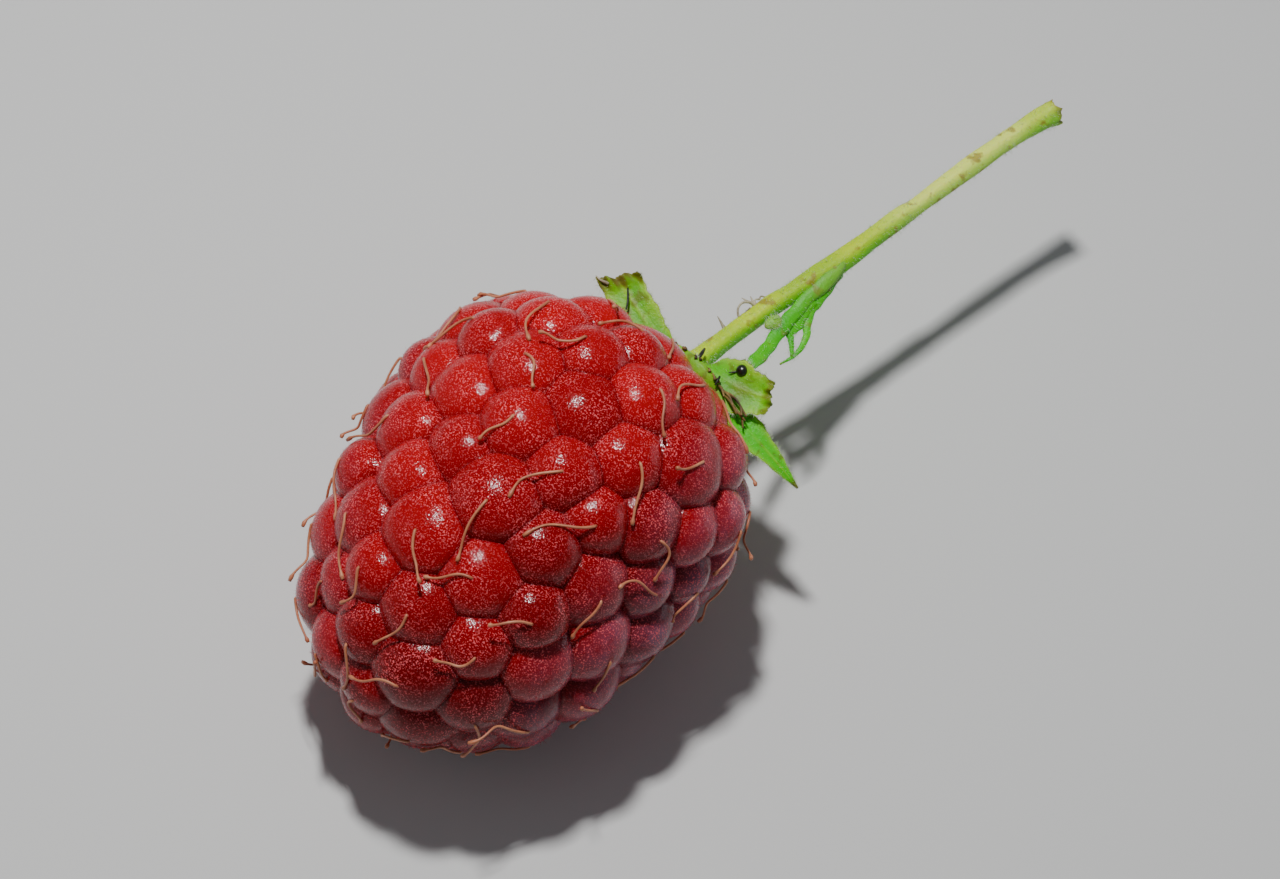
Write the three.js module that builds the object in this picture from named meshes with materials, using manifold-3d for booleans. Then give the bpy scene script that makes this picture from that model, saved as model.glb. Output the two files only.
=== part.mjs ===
// A picked raspberry lying on its side, in millimetres, +Z up.
// The origin is the middle of the small flat spot on which one of its drupelets rests.
import * as THREE from 'three';
import { mergeVertices } from 'three/addons/utils/BufferGeometryUtils.js';
import Module from 'manifold-3d';

const wasm = await Module();
wasm.setup();

// Fruit: a body of revolution in its own frame, with +Z from the calyx to the tip.
const LENGTH = 23.2;
const RADIUS = 8.95;
const TAPER = 0.2; // how much wider the calyx end is than the tip end
const BASE_POWER = 2.7;
const TIP_POWER = 3.0;
const CORE_DEPTH = 1.5; // from the tops of the drupelets down to the solid between them

// Drupelets: a golden-angle spiral, loosened by seeded draws and evened out by pushing apart.
const DRUPELETS = 118;
const TURN_DEGREES = 137.5;
const FIRST_TURN = 4.79;
const SEED = 176;
const SCATTER = 0.6;
const SIZE_SPREAD = 0.12;
const SPACING_GAIN = 1.08;
const PUSH_STEPS = 30;
const PUSH_SHARE = 0.22;
const CALYX_PUSH = 0.6;
const FULLNESS = 1.24; // drupelet radius against half the distance to its neighbours
const LIFT = 0.2;
const NEIGHBOURS = 6;

// Calyx: off the fruit's axis, and tilted with the stalk.
const CALYX_OFFSET = 2.4;
const CALYX_CLEAR = 4.5; // from its centre to the nearest drupelet tops
const CALYX_HEIGHT = 0.985; // along the half length
const CALYX_TILT = 14;
const DISC_RADIUS = 2.3;
const GAP = 0.3;

// Rest: the side that is down, as an angle round the fruit's axis, and how far the tip dips.
const DOWN_ANGLE = -165;
const NOSE_DOWN = 7;
const FLAT_DEPTH = 0.16;
const REACH = 3.2; // how far above the lowest drupelet others are tried as feet
const LEAST_MARGIN = 0.1; // the weight's least share on each of the three feet
const WEIGHT_CENTRE = new THREE.Vector3(0, -0.2, -0.7);

// Fineness of the solids.
const BEAD_DETAIL = 2;
const CORE_STEPS = 10;
const CORE_SIDES = 16;
const DISC_SIDES = 20;
const SEPAL_STEPS = 10;
const SEPAL_ROWS = 4;

// Sepals: angle round the stalk from the lower right, half width, and how far they bend back.
const SEPAL_THICKNESS = 0.6;
const SEPAL_START = 1.2;
const SEPALS = [
  { angle: 0.0, length: 7.0, width: 1.15, back: 0.06, cup: 0.25, blunt: false },
  { angle: 1.0, length: 5.6, width: 1.35, back: 0.6, cup: 0.35, blunt: true },
  { angle: 2.62, length: 6.5, width: 1.05, back: 0.05, cup: 0.1, blunt: true },
  { angle: 3.87, length: 6.2, width: 1.15, back: 0.2, cup: 0.2, blunt: false },
  { angle: 5.06, length: 6.6, width: 1.2, back: 0.12, cup: 0.2, blunt: false },
];
const STAMENS = 22;

// Stalk: distance along it, offset across it, and half widths.
const PEDICEL = [
  [0.9, 0.35, 0.85, 0.85],
  [1.9, 0.45, 0.6, 0.6],
  [4.6, 0.65, 0.54, 0.56],
  [7.2, 0.6, 0.6, 0.6],
  [8.9, 0.5, 0.85, 0.7],
  [10.4, 0.45, 0.6, 0.58],
  [13.3, 0.4, 0.55, 0.55],
  [16.9, 0.2, 0.5, 0.5],
  [20.0, 0.0, 0.52, 0.52],
  [22.0, -0.05, 0.62, 0.6],
  [22.9, -0.15, 0.8, 0.72],
];

// Lobes of the forked growth: along, across, out of the photograph's plane, and half widths.
const LOBES = [
  [
    [8.7, -1.0, 0.1, 0.32, 0.32],
    [7.4, -0.85, 0.2, 0.45, 0.35],
    [5.9, -0.85, 0.35, 0.42, 0.32],
    [4.4, -0.95, 0.4, 0.4, 0.32],
    [3.0, -1.15, 0.5, 0.36, 0.32],
  ],
  [
    [8.6, -1.0, 0.1, 0.32, 0.32],
    [7.2, -0.9, 0.2, 0.42, 0.33],
    [6.0, -1.15, 0.1, 0.36, 0.32],
    [4.9, -1.6, 0.0, 0.32, 0.32],
    [4.0, -1.9, 0.0, 0.3, 0.3],
  ],
  [
    [8.7, -1.05, 0.0, 0.32, 0.32],
    [7.7, -1.15, 0.0, 0.4, 0.33],
    [6.7, -1.55, -0.1, 0.34, 0.32],
    [5.7, -1.95, -0.2, 0.32, 0.32],
    [4.8, -2.0, -0.1, 0.3, 0.3],
  ],
];
const BEAD_RADIUS = 0.3;
const BEAD_PLACE = [2.75, -1.05, 0.75];

const SAMPLES = 800;
const TOP_OPENING = 0.975;

// The radius of the fruit at t, which runs from -1 at the calyx to 1 at the tip.
function envelope(t) {
  const power = t < 0 ? BASE_POWER : TIP_POWER;
  const inside = Math.max(0, 1 - Math.abs(t) ** power);
  return RADIUS * Math.sqrt(inside) * (1 - TAPER * t);
}

// A seeded draw between 0 and 1 for item i of kind k.
function draw(i, k) {
  const x = Math.sin(i * 12.9898 + k * 78.233 + SEED * 37.719) * 43758.5453;
  return x - Math.floor(x);
}

// Between -1 and 1.
const spread = (i, k) => 2 * draw(i, k) - 1;

// The y at x on the line through the points of xs, which rise, and ys.
function interpolate(x, xs, ys) {
  let low = 0;
  let high = xs.length - 1;
  if (x <= xs[low]) return ys[low];
  if (x >= xs[high]) return ys[high];
  while (high - low > 1) {
    const middle = (low + high) >> 1;
    if (xs[middle] <= x) low = middle;
    else high = middle;
  }
  return ys[low] + ((ys[high] - ys[low]) * (x - xs[low])) / (xs[high] - xs[low]);
}

// The envelope sampled from the calyx to the tip: area covered so far, and polar angle from the tip.
const profile = { t: [], area: [], falling: [] };
for (let i = 0; i <= SAMPLES; i += 1) {
  const t = -TOP_OPENING + ((1 + TOP_OPENING) * i) / SAMPLES;
  const r = envelope(t);
  const last = profile.t.at(-1);
  let area = 0;
  if (i > 0) {
    const before = envelope(last);
    const step = Math.hypot(r - before, ((t - last) * LENGTH) / 2);
    area = profile.area.at(-1) + (step * (r + before)) / 2;
  }
  profile.t.push(t);
  profile.area.push(area);
  profile.falling.push(-Math.atan2(r, (t * LENGTH) / 2));
}

// A point moved along its ray from the centre onto the envelope.
function ontoEnvelope(p) {
  const far = Math.max(Math.hypot(p.x, p.y), 1e-9);
  const t = interpolate(-Math.atan2(far, p.z), profile.falling, profile.t);
  const r = envelope(t);
  p.set((p.x / far) * r, (p.y / far) * r, (t * LENGTH) / 2);
  return t;
}

const CALYX_CENTRE = new THREE.Vector3(0, -CALYX_OFFSET, (-CALYX_HEIGHT * LENGTH) / 2);

// The drupelets' tops on the envelope, each as far from the next as its size asks.
function drupeletTops() {
  const total = profile.area.at(-1);
  const open = total - 0.2 * CALYX_CLEAR ** 2;
  const spacing = SPACING_GAIN * Math.sqrt((open * 2 * Math.PI) / DRUPELETS / 0.866);
  const tops = [];
  for (let k = 0; k < DRUPELETS; k += 1) {
    const t = interpolate(((k + 0.5) / DRUPELETS) * total, profile.area, profile.t);
    const turn = -k * THREE.MathUtils.degToRad(TURN_DEGREES) + FIRST_TURN;
    const r = envelope(t);
    const top = new THREE.Vector3(r * Math.cos(turn), r * Math.sin(turn), (t * LENGTH) / 2);
    top.x += SCATTER * spread(k, 4);
    top.y += SCATTER * spread(k, 5);
    top.z += SCATTER * spread(k, 6);
    ontoEnvelope(top);
    tops.push({ top, size: 1 + SIZE_SPREAD * spread(k, 3) });
  }
  for (let step = 0; step < PUSH_STEPS; step += 1) {
    const moves = tops.map((a) => {
      const move = new THREE.Vector3();
      for (const b of tops) {
        if (a === b) continue;
        const away = a.top.clone().sub(b.top);
        const far = away.length();
        const wanted = (spacing * (a.size + b.size)) / 2;
        if (far < wanted) move.addScaledVector(away, ((wanted - far) / far) * PUSH_SHARE);
      }
      const out = a.top.clone().sub(CALYX_CENTRE);
      const near = out.length();
      if (near < CALYX_CLEAR) move.addScaledVector(out, ((CALYX_CLEAR - near) / near) * CALYX_PUSH);
      return move;
    });
    tops.forEach((a, i) => {
      a.top.add(moves[i]);
      a.t = ontoEnvelope(a.top);
    });
  }
  return tops;
}

// The envelope's outward direction at a point of it.
function outward(top, t) {
  const low = Math.max(t - 1e-4, -1);
  const high = Math.min(t + 1e-4, 1);
  const rise = envelope(high) - envelope(low);
  const run = ((high - low) * LENGTH) / 2;
  const far = Math.max(Math.hypot(top.x, top.y), 1e-9);
  return new THREE.Vector3((run * top.x) / far, (run * top.y) / far, -rise).normalize();
}

// Each drupelet as a ball whose top lies near the envelope.
function drupeletBalls() {
  const tops = drupeletTops();
  return tops.map((a, i) => {
    const distances = tops.filter((b) => b !== a).map((b) => a.top.distanceTo(b.top));
    distances.sort((one, other) => one - other);
    const near = distances.slice(0, NEIGHBOURS).reduce((sum, d) => sum + d, 0) / NEIGHBOURS;
    const radius = ((FULLNESS * near) / 2) * (1 + 0.5 * (a.size - 1));
    const normal = outward(a.top, a.t);
    const centre = a.top.clone().addScaledVector(normal, LIFT * spread(i, 7) - radius);
    return { centre, radius, normal };
  });
}

// The flat directions in which three balls carry the fruit: the one nearest the guess, with the
// weight inside the three points that touch. It gives the down direction and the first ball.
function restingPlane(balls, guess, weight) {
  const low = balls.filter((b) => b.centre.dot(guess) + b.radius > lowest(balls, guess) - REACH);
  let best = { nearness: -1 };
  for (let i = 0; i < low.length; i += 1) {
    for (let j = i + 1; j < low.length; j += 1) {
      for (let k = j + 1; k < low.length; k += 1) {
        const down = commonTangent(low[i], low[j], low[k], guess);
        if (!down || down.dot(guess) < best.nearness) continue;
        const level = low[i].centre.dot(down) + low[i].radius;
        if (lowest(balls, down) > level + 1e-6) continue;
        const feet = [low[i], low[j], low[k]].map((b) => b.centre.clone().addScaledVector(down, b.radius));
        if (margin(feet, weight, down) < LEAST_MARGIN) continue;
        best = { nearness: down.dot(guess), down, foot: low[i] };
      }
    }
  }
  return best;
}

function lowest(balls, down) {
  return Math.max(...balls.map((b) => b.centre.dot(down) + b.radius));
}

// The direction, near the guess, of the plane that touches three balls on one side.
function commonTangent(a, b, c, guess) {
  const p = b.centre.clone().sub(a.centre);
  const q = c.centre.clone().sub(a.centre);
  const across = p.clone().cross(q);
  const size = across.lengthSq();
  const rise = a.radius - b.radius;
  const other = a.radius - c.radius;
  const down = q.clone().cross(across).multiplyScalar(rise / size);
  down.addScaledVector(across.clone().cross(p), other / size);
  const left = 1 - down.lengthSq();
  if (left <= 0) return null;
  const side = Math.sign(across.dot(guess));
  down.addScaledVector(across.normalize(), side * Math.sqrt(left));
  return down;
}

// The least barycentric share of the weight's foot in the triangle of the three feet.
function margin(feet, weight, down) {
  const triangle = new THREE.Triangle(...feet);
  const foot = weight.clone().addScaledVector(down, feet[0].clone().sub(weight).dot(down));
  const shares = triangle.getBarycoord(foot, new THREE.Vector3());
  return Math.min(shares.x, shares.y, shares.z);
}

// From the fruit's frame to the part's: the tip heads to -Y and the first foot is at the origin.
function restPose(balls) {
  const angle = THREE.MathUtils.degToRad(DOWN_ANGLE);
  const dip = THREE.MathUtils.degToRad(NOSE_DOWN);
  const across = Math.cos(dip);
  const guess = new THREE.Vector3(across * Math.cos(angle), across * Math.sin(angle), Math.sin(dip));
  const { down, foot } = restingPlane(balls, guess, WEIGHT_CENTRE);
  const up = down.clone().negate();
  const back = new THREE.Vector3(0, 0, -1);
  back.addScaledVector(up, -back.dot(up)).normalize();
  const right = back.clone().cross(up);
  const pose = new THREE.Matrix4().makeBasis(right, back, up).transpose();
  const point = foot.centre.clone().addScaledVector(down, foot.radius - FLAT_DEPTH);
  return pose.setPosition(point.applyMatrix4(pose).negate());
}

// A closed geometry as a solid, with only its corners kept.
function solid(geometry) {
  const plain = geometry.clone();
  plain.deleteAttribute('normal');
  plain.deleteAttribute('uv');
  const merged = mergeVertices(plain, 1e-5);
  return new wasm.Manifold(
    new wasm.Mesh({
      numProp: 3,
      vertProperties: merged.attributes.position.array,
      triVerts: new Uint32Array(merged.index.array),
    }),
  );
}

function geometryOf(body) {
  const mesh = body.getMesh();
  const geometry = new THREE.BufferGeometry();
  geometry.setAttribute('position', new THREE.BufferAttribute(mesh.vertProperties, 3));
  geometry.setIndex(new THREE.BufferAttribute(mesh.triVerts, 1));
  return geometry.toNonIndexed();
}

// A solid of revolution about Z from [radius, height] points that start and end on the axis.
function turned(points, sides) {
  const outline = points.map(([r, z]) => new THREE.Vector2(r, z));
  return new THREE.LatheGeometry(outline, sides).rotateX(Math.PI / 2);
}

// A closed tube through points, each {at, wide, thick}, with its wide side towards `side`.
function limb(stations, sides, steps, side) {
  const path = new THREE.CatmullRomCurve3(stations.map((s) => s.at));
  const places = stations.map((_, i) => i / (stations.length - 1));
  const wide = stations.map((s) => s.wide);
  const thick = stations.map((s) => s.thick ?? s.wide);
  const corners = [];
  for (let i = 0; i <= steps; i += 1) {
    const u = i / steps;
    const middle = path.getPoint(u);
    const along = path.getTangent(u);
    const across = side.clone().addScaledVector(along, -side.dot(along)).normalize();
    const over = along.clone().cross(across);
    for (let j = 0; j < sides; j += 1) {
      const turn = (2 * Math.PI * j) / sides;
      const corner = middle.clone();
      corner.addScaledVector(across, Math.cos(turn) * interpolate(u, places, wide));
      corner.addScaledVector(over, Math.sin(turn) * interpolate(u, places, thick));
      corners.push(corner);
    }
  }
  const faces = [];
  for (let i = 0; i < steps; i += 1) {
    for (let j = 0; j < sides; j += 1) {
      const next = (j + 1) % sides;
      const [a, b, c, d] = [i * sides + j, i * sides + next, (i + 1) * sides + next, (i + 1) * sides + j];
      faces.push(a, b, c, a, c, d);
    }
  }
  for (let j = 1; j < sides - 1; j += 1) {
    faces.push(0, j + 1, j);
    const end = steps * sides;
    faces.push(end, end + j, end + j + 1);
  }
  return fromCorners(corners, faces);
}

function fromCorners(corners, faces) {
  const geometry = new THREE.BufferGeometry().setFromPoints(corners);
  geometry.setIndex(faces);
  return geometry;
}

const balls = drupeletBalls();
const POSE = restPose(balls);

// The calyx's own frame: z leaves the fruit along the stalk, x lies up when the fruit rests.
const CALYX = new THREE.Matrix4()
  .makeBasis(
    new THREE.Vector3(1, 0, 0),
    new THREE.Vector3(0, -1, 0),
    new THREE.Vector3(0, 0, -1),
  )
  .premultiply(new THREE.Matrix4().makeRotationX(-THREE.MathUtils.degToRad(CALYX_TILT)))
  .setPosition(CALYX_CENTRE);

const calyxBalls = balls.map((b) => ({
  centre: b.centre.clone().applyMatrix4(CALYX.clone().invert()),
  radius: b.radius,
}));

// The fruit: balls sunk in a core, with a bed for the calyx and small flats to rest on.
function drupelets() {
  const beads = balls.map((ball, i) => {
    const bead = new THREE.IcosahedronGeometry(ball.radius, BEAD_DETAIL);
    bead.rotateY(2 * Math.PI * draw(i, 8));
    bead.applyQuaternion(new THREE.Quaternion().setFromUnitVectors(new THREE.Vector3(0, 1, 0), ball.normal));
    bead.translate(...ball.centre.toArray());
    return solid(bead.applyMatrix4(POSE));
  });
  const outline = [];
  for (let i = 0; i <= CORE_STEPS; i += 1) {
    const t = -Math.cos((Math.PI * i) / CORE_STEPS);
    const r = Math.max(0, envelope(t) - CORE_DEPTH * Math.sqrt(1 - t * t));
    outline.push([i % CORE_STEPS ? r : 0, t * (LENGTH / 2 - CORE_DEPTH)]);
  }
  const core = solid(turned(outline, CORE_SIDES).applyMatrix4(POSE));
  const bed = solid(turned(discOutline(GAP), DISC_SIDES).applyMatrix4(CALYX).applyMatrix4(POSE));
  const floor = new THREE.BoxGeometry(4 * LENGTH, 4 * LENGTH, LENGTH).translate(0, 0, -LENGTH / 2);
  return wasm.Manifold.union([...beads, core]).subtract(bed).subtract(solid(floor));
}

// The disc that the sepals grow from, as [radius, height] points, grown by `more` all round.
function discOutline(more) {
  return [
    [0, -1.0 - more],
    [1.3 + more, -1.0 - more],
    [DISC_RADIUS + more, -0.2 - more],
    [DISC_RADIUS + more, 0.25 + more],
    [1.3 + more, 0.6 + more],
    [0, 0.6 + more],
  ];
}

// The height that keeps a point of the calyx clear of the drupelets under it.
function clearHeight(x, y, height) {
  let top = height;
  for (const { centre, radius } of calyxBalls) {
    const reach = radius + GAP + SEPAL_THICKNESS / 2 + 0.05;
    const aside = Math.hypot(x - centre.x, y - centre.y);
    if (aside < reach) top = Math.max(top, centre.z + Math.sqrt(reach ** 2 - aside ** 2));
  }
  return top;
}

// A sepal: a blade on a grid, wide(u) either side of its rib, that bends back by its angle.
function sepal({ angle, length, width, back, cup, blunt }, which) {
  const along = new THREE.Vector3(Math.sin(angle), Math.cos(angle), 0);
  const aside = new THREE.Vector3(Math.cos(angle), -Math.sin(angle), 0);
  const upper = [];
  const lower = [];
  for (let i = 0; i <= SEPAL_STEPS; i += 1) {
    const u = i / SEPAL_STEPS;
    const reach = SEPAL_START + (length - SEPAL_START) * u;
    const full = Math.sin(Math.PI * (0.22 + (blunt ? 0.5 : 0.74) * u)) ** 0.8;
    const ragged = 1 + 0.12 * spread(i, 20 + which);
    for (let j = 0; j <= SEPAL_ROWS; j += 1) {
      const v = (2 * j) / SEPAL_ROWS - 1;
      const notch = blunt && i === SEPAL_STEPS ? 0.45 * spread(j, 30 + which) : 0;
      const out = (reach + notch) * Math.cos(back * u);
      const p = along.clone().multiplyScalar(out).addScaledVector(aside, v * width * full * ragged);
      const rise = 0.3 + reach * Math.sin(back * u) + cup * v * v * width;
      p.z = clearHeight(p.x, p.y, rise);
      upper.push(p.clone().setZ(p.z + SEPAL_THICKNESS / 2));
      lower.push(p.clone().setZ(p.z - SEPAL_THICKNESS / 2));
    }
  }
  return sheetSolid(upper, lower, SEPAL_STEPS, SEPAL_ROWS);
}

// Two like grids of corners closed into one blade, with like triangles on both faces.
function sheetSolid(upper, lower, steps, rows) {
  const row = rows + 1;
  const base = upper.length;
  const faces = [];
  for (let i = 0; i < steps; i += 1) {
    for (let j = 0; j < rows; j += 1) {
      const [a, b, c, d] = [i * row + j, i * row + j + 1, (i + 1) * row + j + 1, (i + 1) * row + j];
      faces.push(a, c, d, a, b, c);
      faces.push(base + a, base + d, base + c, base + a, base + c, base + b);
    }
  }
  const rim = [];
  for (let j = 0; j < rows; j += 1) rim.push(j);
  for (let i = 0; i < steps; i += 1) rim.push(i * row + rows);
  for (let j = rows; j > 0; j -= 1) rim.push(steps * row + j);
  for (let i = steps; i > 0; i -= 1) rim.push(i * row);
  rim.forEach((a, n) => {
    const b = rim[(n + 1) % rim.length];
    faces.push(a, base + b, b, a, base + a, base + b);
  });
  return fromCorners([...upper, ...lower], faces);
}

// The calyx: disc, five sepals and the withered stamens round the disc's edge, grown as one.
function calyx() {
  const bodies = [solid(turned(discOutline(0), DISC_SIDES))];
  SEPALS.forEach((shape, i) => bodies.push(solid(sepal(shape, i))));
  for (let i = 0; i < STAMENS; i += 1) {
    const angle = (2 * Math.PI * (i + 0.4 * spread(i, 40))) / STAMENS;
    const out = new THREE.Vector3(Math.sin(angle), Math.cos(angle), 0);
    const length = 1.5 + 0.5 * spread(i, 41);
    const root = out.clone().multiplyScalar(DISC_RADIUS - 0.35).setZ(0.1);
    const bend = out.clone().multiplyScalar(DISC_RADIUS + 0.1).setZ(0.7);
    const tip = out.clone().multiplyScalar(DISC_RADIUS + 0.25 * length * (1 + spread(i, 42)));
    tip.z = 0.6 + length * 0.8;
    const stations = [root, bend, tip].map((at, n) => ({ at, wide: 0.16 - 0.02 * n }));
    bodies.push(solid(limb(stations, 3, 3, new THREE.Vector3(0, 0, 1).cross(out))));
  }
  return wasm.Manifold.union(bodies);
}

// A point of the calyx's frame by its place in the photograph's plane: along the stalk, across
// it to the upper left, and out of the plane.
const seen = (along, across, out = 0) => new THREE.Vector3(out, -across, along);

// The stalk, from just above the disc to its torn, flared end.
function pedicel() {
  const stations = PEDICEL.map(([along, across, wide, thick]) => ({ at: seen(along, across), wide, thick }));
  return solid(limb(stations, 12, 36, new THREE.Vector3(0, 1, 0)));
}

// The forked growth beside the stalk: three lobes from one root, and the dark bead on the first.
function bract() {
  const lobes = LOBES.map((lobe) => {
    const stations = lobe.map(([along, across, out, wide, thick]) => ({ at: seen(along, across, out), wide, thick }));
    return solid(limb(stations, 6, 8, new THREE.Vector3(0, 1, 0)));
  });
  const bead = new THREE.IcosahedronGeometry(BEAD_RADIUS, 1);
  bead.translate(...seen(...BEAD_PLACE).toArray());
  return wasm.Manifold.union([...lobes, solid(bead)]);
}

function mesh(name, body, colour, roughness, inCalyxFrame) {
  const geometry = geometryOf(body);
  if (inCalyxFrame) geometry.applyMatrix4(CALYX).applyMatrix4(POSE);
  const material = new THREE.MeshStandardMaterial({ color: colour, roughness, metalness: 0 });
  const made = new THREE.Mesh(geometry, material);
  made.name = name;
  return made;
}

const raspberry = new THREE.Group();
raspberry.add(mesh('drupelets', drupelets(), 0xa3142a, 0.45, false));
raspberry.add(mesh('calyx', calyx(), 0x86b83a, 0.6, true));
raspberry.add(mesh('pedicel', pedicel(), 0xc3cc6a, 0.6, true));
raspberry.add(mesh('bract', bract(), 0x6fb534, 0.6, true));

export default raspberry;
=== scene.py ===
import math

import bpy
import numpy as np
from mathutils import Matrix


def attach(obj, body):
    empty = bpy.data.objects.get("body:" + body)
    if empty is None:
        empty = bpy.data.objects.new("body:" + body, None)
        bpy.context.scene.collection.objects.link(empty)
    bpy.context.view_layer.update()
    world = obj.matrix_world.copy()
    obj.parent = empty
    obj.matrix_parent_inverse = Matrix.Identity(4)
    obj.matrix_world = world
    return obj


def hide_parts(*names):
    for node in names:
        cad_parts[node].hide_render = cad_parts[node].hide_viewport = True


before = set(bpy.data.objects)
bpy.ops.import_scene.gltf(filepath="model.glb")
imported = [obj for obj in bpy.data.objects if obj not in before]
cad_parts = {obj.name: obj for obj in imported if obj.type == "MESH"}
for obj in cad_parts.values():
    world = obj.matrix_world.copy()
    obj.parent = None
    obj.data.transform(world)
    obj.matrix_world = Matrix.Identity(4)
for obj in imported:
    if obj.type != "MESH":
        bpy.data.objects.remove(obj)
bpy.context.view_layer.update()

# Every size below is in millimetres until make_piece turns it into metres.
MM = 0.001

# Fruit: a body of revolution in its own frame, with +Z from the calyx to the tip.
LENGTH = 23.2
RADIUS = 8.95
TAPER = 0.2
BASE_POWER = 2.7
TIP_POWER = 3.0
CORE_DEPTH = 1.5

# Drupelets: a golden-angle spiral, loosened by seeded draws and evened out by pushing apart.
DRUPELETS = 118
TURN_DEGREES = 137.5
FIRST_TURN = 4.79
SEED = 176
SCATTER = 0.6
SIZE_SPREAD = 0.12
SPACING_GAIN = 1.08
PUSH_STEPS = 30
PUSH_SHARE = 0.22
CALYX_PUSH = 0.6
FULLNESS = 1.24
LIFT = 0.2
NEIGHBOURS = 6
SAMPLES = 800
TOP_OPENING = 0.975
PACKED = 0.866  # a row's height over the spacing, in evenly packed rounds
CALYX_SHARE = 0.2  # of the calyx's cleared square, which holds no drupelets

# Above the floor the drupelets stand unevenly: each is sunk or raised by a seeded share of this.
SINK = 0.36
SINK_NONE = 0.35
SINK_EASE = (1.0, 4.0)

# Calyx: off the fruit's axis, and tilted with the stalk.
CALYX_OFFSET = 2.4
CALYX_CLEAR = 4.5
CALYX_HEIGHT = 0.985
CALYX_TILT = math.radians(14)
DISC_RADIUS = 2.3

# Rest: the side that is down, as an angle round the fruit's axis, and how far the tip dips.
DOWN_ANGLE = math.radians(-165)
NOSE_DOWN = math.radians(7)
FLAT_DEPTH = 0.16
REACH = 3.2
LEAST_MARGIN = 0.1
WEIGHT_CENTRE = np.array([0, -0.2, -0.7])

# View: the fruit's axis in the photograph, which is 1280 by 879 pixels.
PHOTO_WIDTH, PHOTO_HEIGHT = 1280, 879
PIXELS_PER_MM = 21.5
FRUIT_PIXEL = (513, 534)
AXIS_ANGLE = math.radians(52)
AXIS_TOWARDS_VIEWER = math.radians(20)
VIEW_DISTANCE = 165
SENSOR = 36


def draw(i, k):
    """A seeded draw between 0 and 1 for items i of kind k: the fraction of a large sine."""
    x = np.sin(i * 12.9898 + k * 78.233 + SEED * 37.719) * 43758.5453
    return x - np.floor(x)


def spread(i, k):
    """The same draw, between -1 and 1."""
    return 2 * draw(i, k) - 1


def unit(v):
    """Vectors of length 1 along the last axis."""
    return v / np.maximum(np.linalg.norm(v, axis=-1, keepdims=True), 1e-12)


def smooth_step(low, high, x):
    """0 below low and 1 above high, eased by 3s^2 - 2s^3 between."""
    s = np.clip((x - low) / (high - low), 0, 1)
    return s * s * (3 - 2 * s)


# The fruit's rule

def envelope(t):
    """Radius at t, -1 at the calyx and 1 at the tip: half a superellipse with a linear taper."""
    power = np.where(t < 0, BASE_POWER, TIP_POWER)
    inside = np.clip(1 - np.abs(t) ** power, 0, None)
    return RADIUS * np.sqrt(inside) * (1 - TAPER * t)


PROFILE_T = np.linspace(-TOP_OPENING, 1, SAMPLES + 1)
PROFILE_R = envelope(PROFILE_T)
PROFILE_STEP = np.hypot(np.diff(PROFILE_R), np.diff(PROFILE_T) * LENGTH / 2)
PROFILE_AREA = np.concatenate([[0], np.cumsum(PROFILE_STEP * (PROFILE_R[1:] + PROFILE_R[:-1]) / 2)])
PROFILE_FALLING = -np.arctan2(PROFILE_R, PROFILE_T * LENGTH / 2)
CALYX_CENTRE = np.array([0, -CALYX_OFFSET, -CALYX_HEIGHT * LENGTH / 2])


def onto_envelope(p):
    """Points moved along their rays from the centre onto the envelope, with their t."""
    far = np.maximum(np.hypot(p[:, 0], p[:, 1]), 1e-9)
    t = np.interp(-np.arctan2(far, p[:, 2]), PROFILE_FALLING, PROFILE_T)
    r = envelope(t)
    return np.stack([p[:, 0] / far * r, p[:, 1] / far * r, t * LENGTH / 2], 1), t


def drupelet_tops():
    """Tops k at equal shares of area along the axis and 137.5 degrees apart round it, shifted by
    draws, then pushed apart in steps until each pair is as far apart as its sizes ask."""
    k = np.arange(DRUPELETS)
    total = PROFILE_AREA[-1]
    room = (total - CALYX_SHARE * CALYX_CLEAR**2) * 2 * np.pi
    spacing = SPACING_GAIN * np.sqrt(room / DRUPELETS / PACKED)
    t = np.interp((k + 0.5) / DRUPELETS * total, PROFILE_AREA, PROFILE_T)
    turn = -k * math.radians(TURN_DEGREES) + FIRST_TURN
    r = envelope(t)
    top = np.stack([r * np.cos(turn), r * np.sin(turn), t * LENGTH / 2], 1)
    top = top + SCATTER * np.stack([spread(k, 4), spread(k, 5), spread(k, 6)], 1)
    top, t = onto_envelope(top)
    size = 1 + SIZE_SPREAD * spread(k, 3)
    wanted = spacing * (size[:, None] + size[None]) / 2
    for _ in range(PUSH_STEPS):
        away = top[:, None] - top[None]
        far = np.sqrt((away**2).sum(2))
        far[k, k] = np.inf
        push = np.clip(wanted - far, 0, None) / far * PUSH_SHARE
        push[k, k] = 0
        out = top - CALYX_CENTRE
        near = np.linalg.norm(out, axis=1)
        leave = out * (np.clip(CALYX_CLEAR - near, 0, None) / near * CALYX_PUSH)[:, None]
        top, t = onto_envelope(top + (away * push[..., None]).sum(1) + leave)
    return top, t, size


def outward(top, t):
    """The envelope's normal at its points, from the slope of the radius over a short step."""
    low, high = np.clip(t - 1e-4, -1, 1), np.clip(t + 1e-4, -1, 1)
    rise = envelope(high) - envelope(low)
    run = (high - low) * LENGTH / 2
    far = np.maximum(np.hypot(top[:, 0], top[:, 1]), 1e-9)
    return unit(np.stack([run * top[:, 0] / far, run * top[:, 1] / far, -rise], 1))


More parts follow.
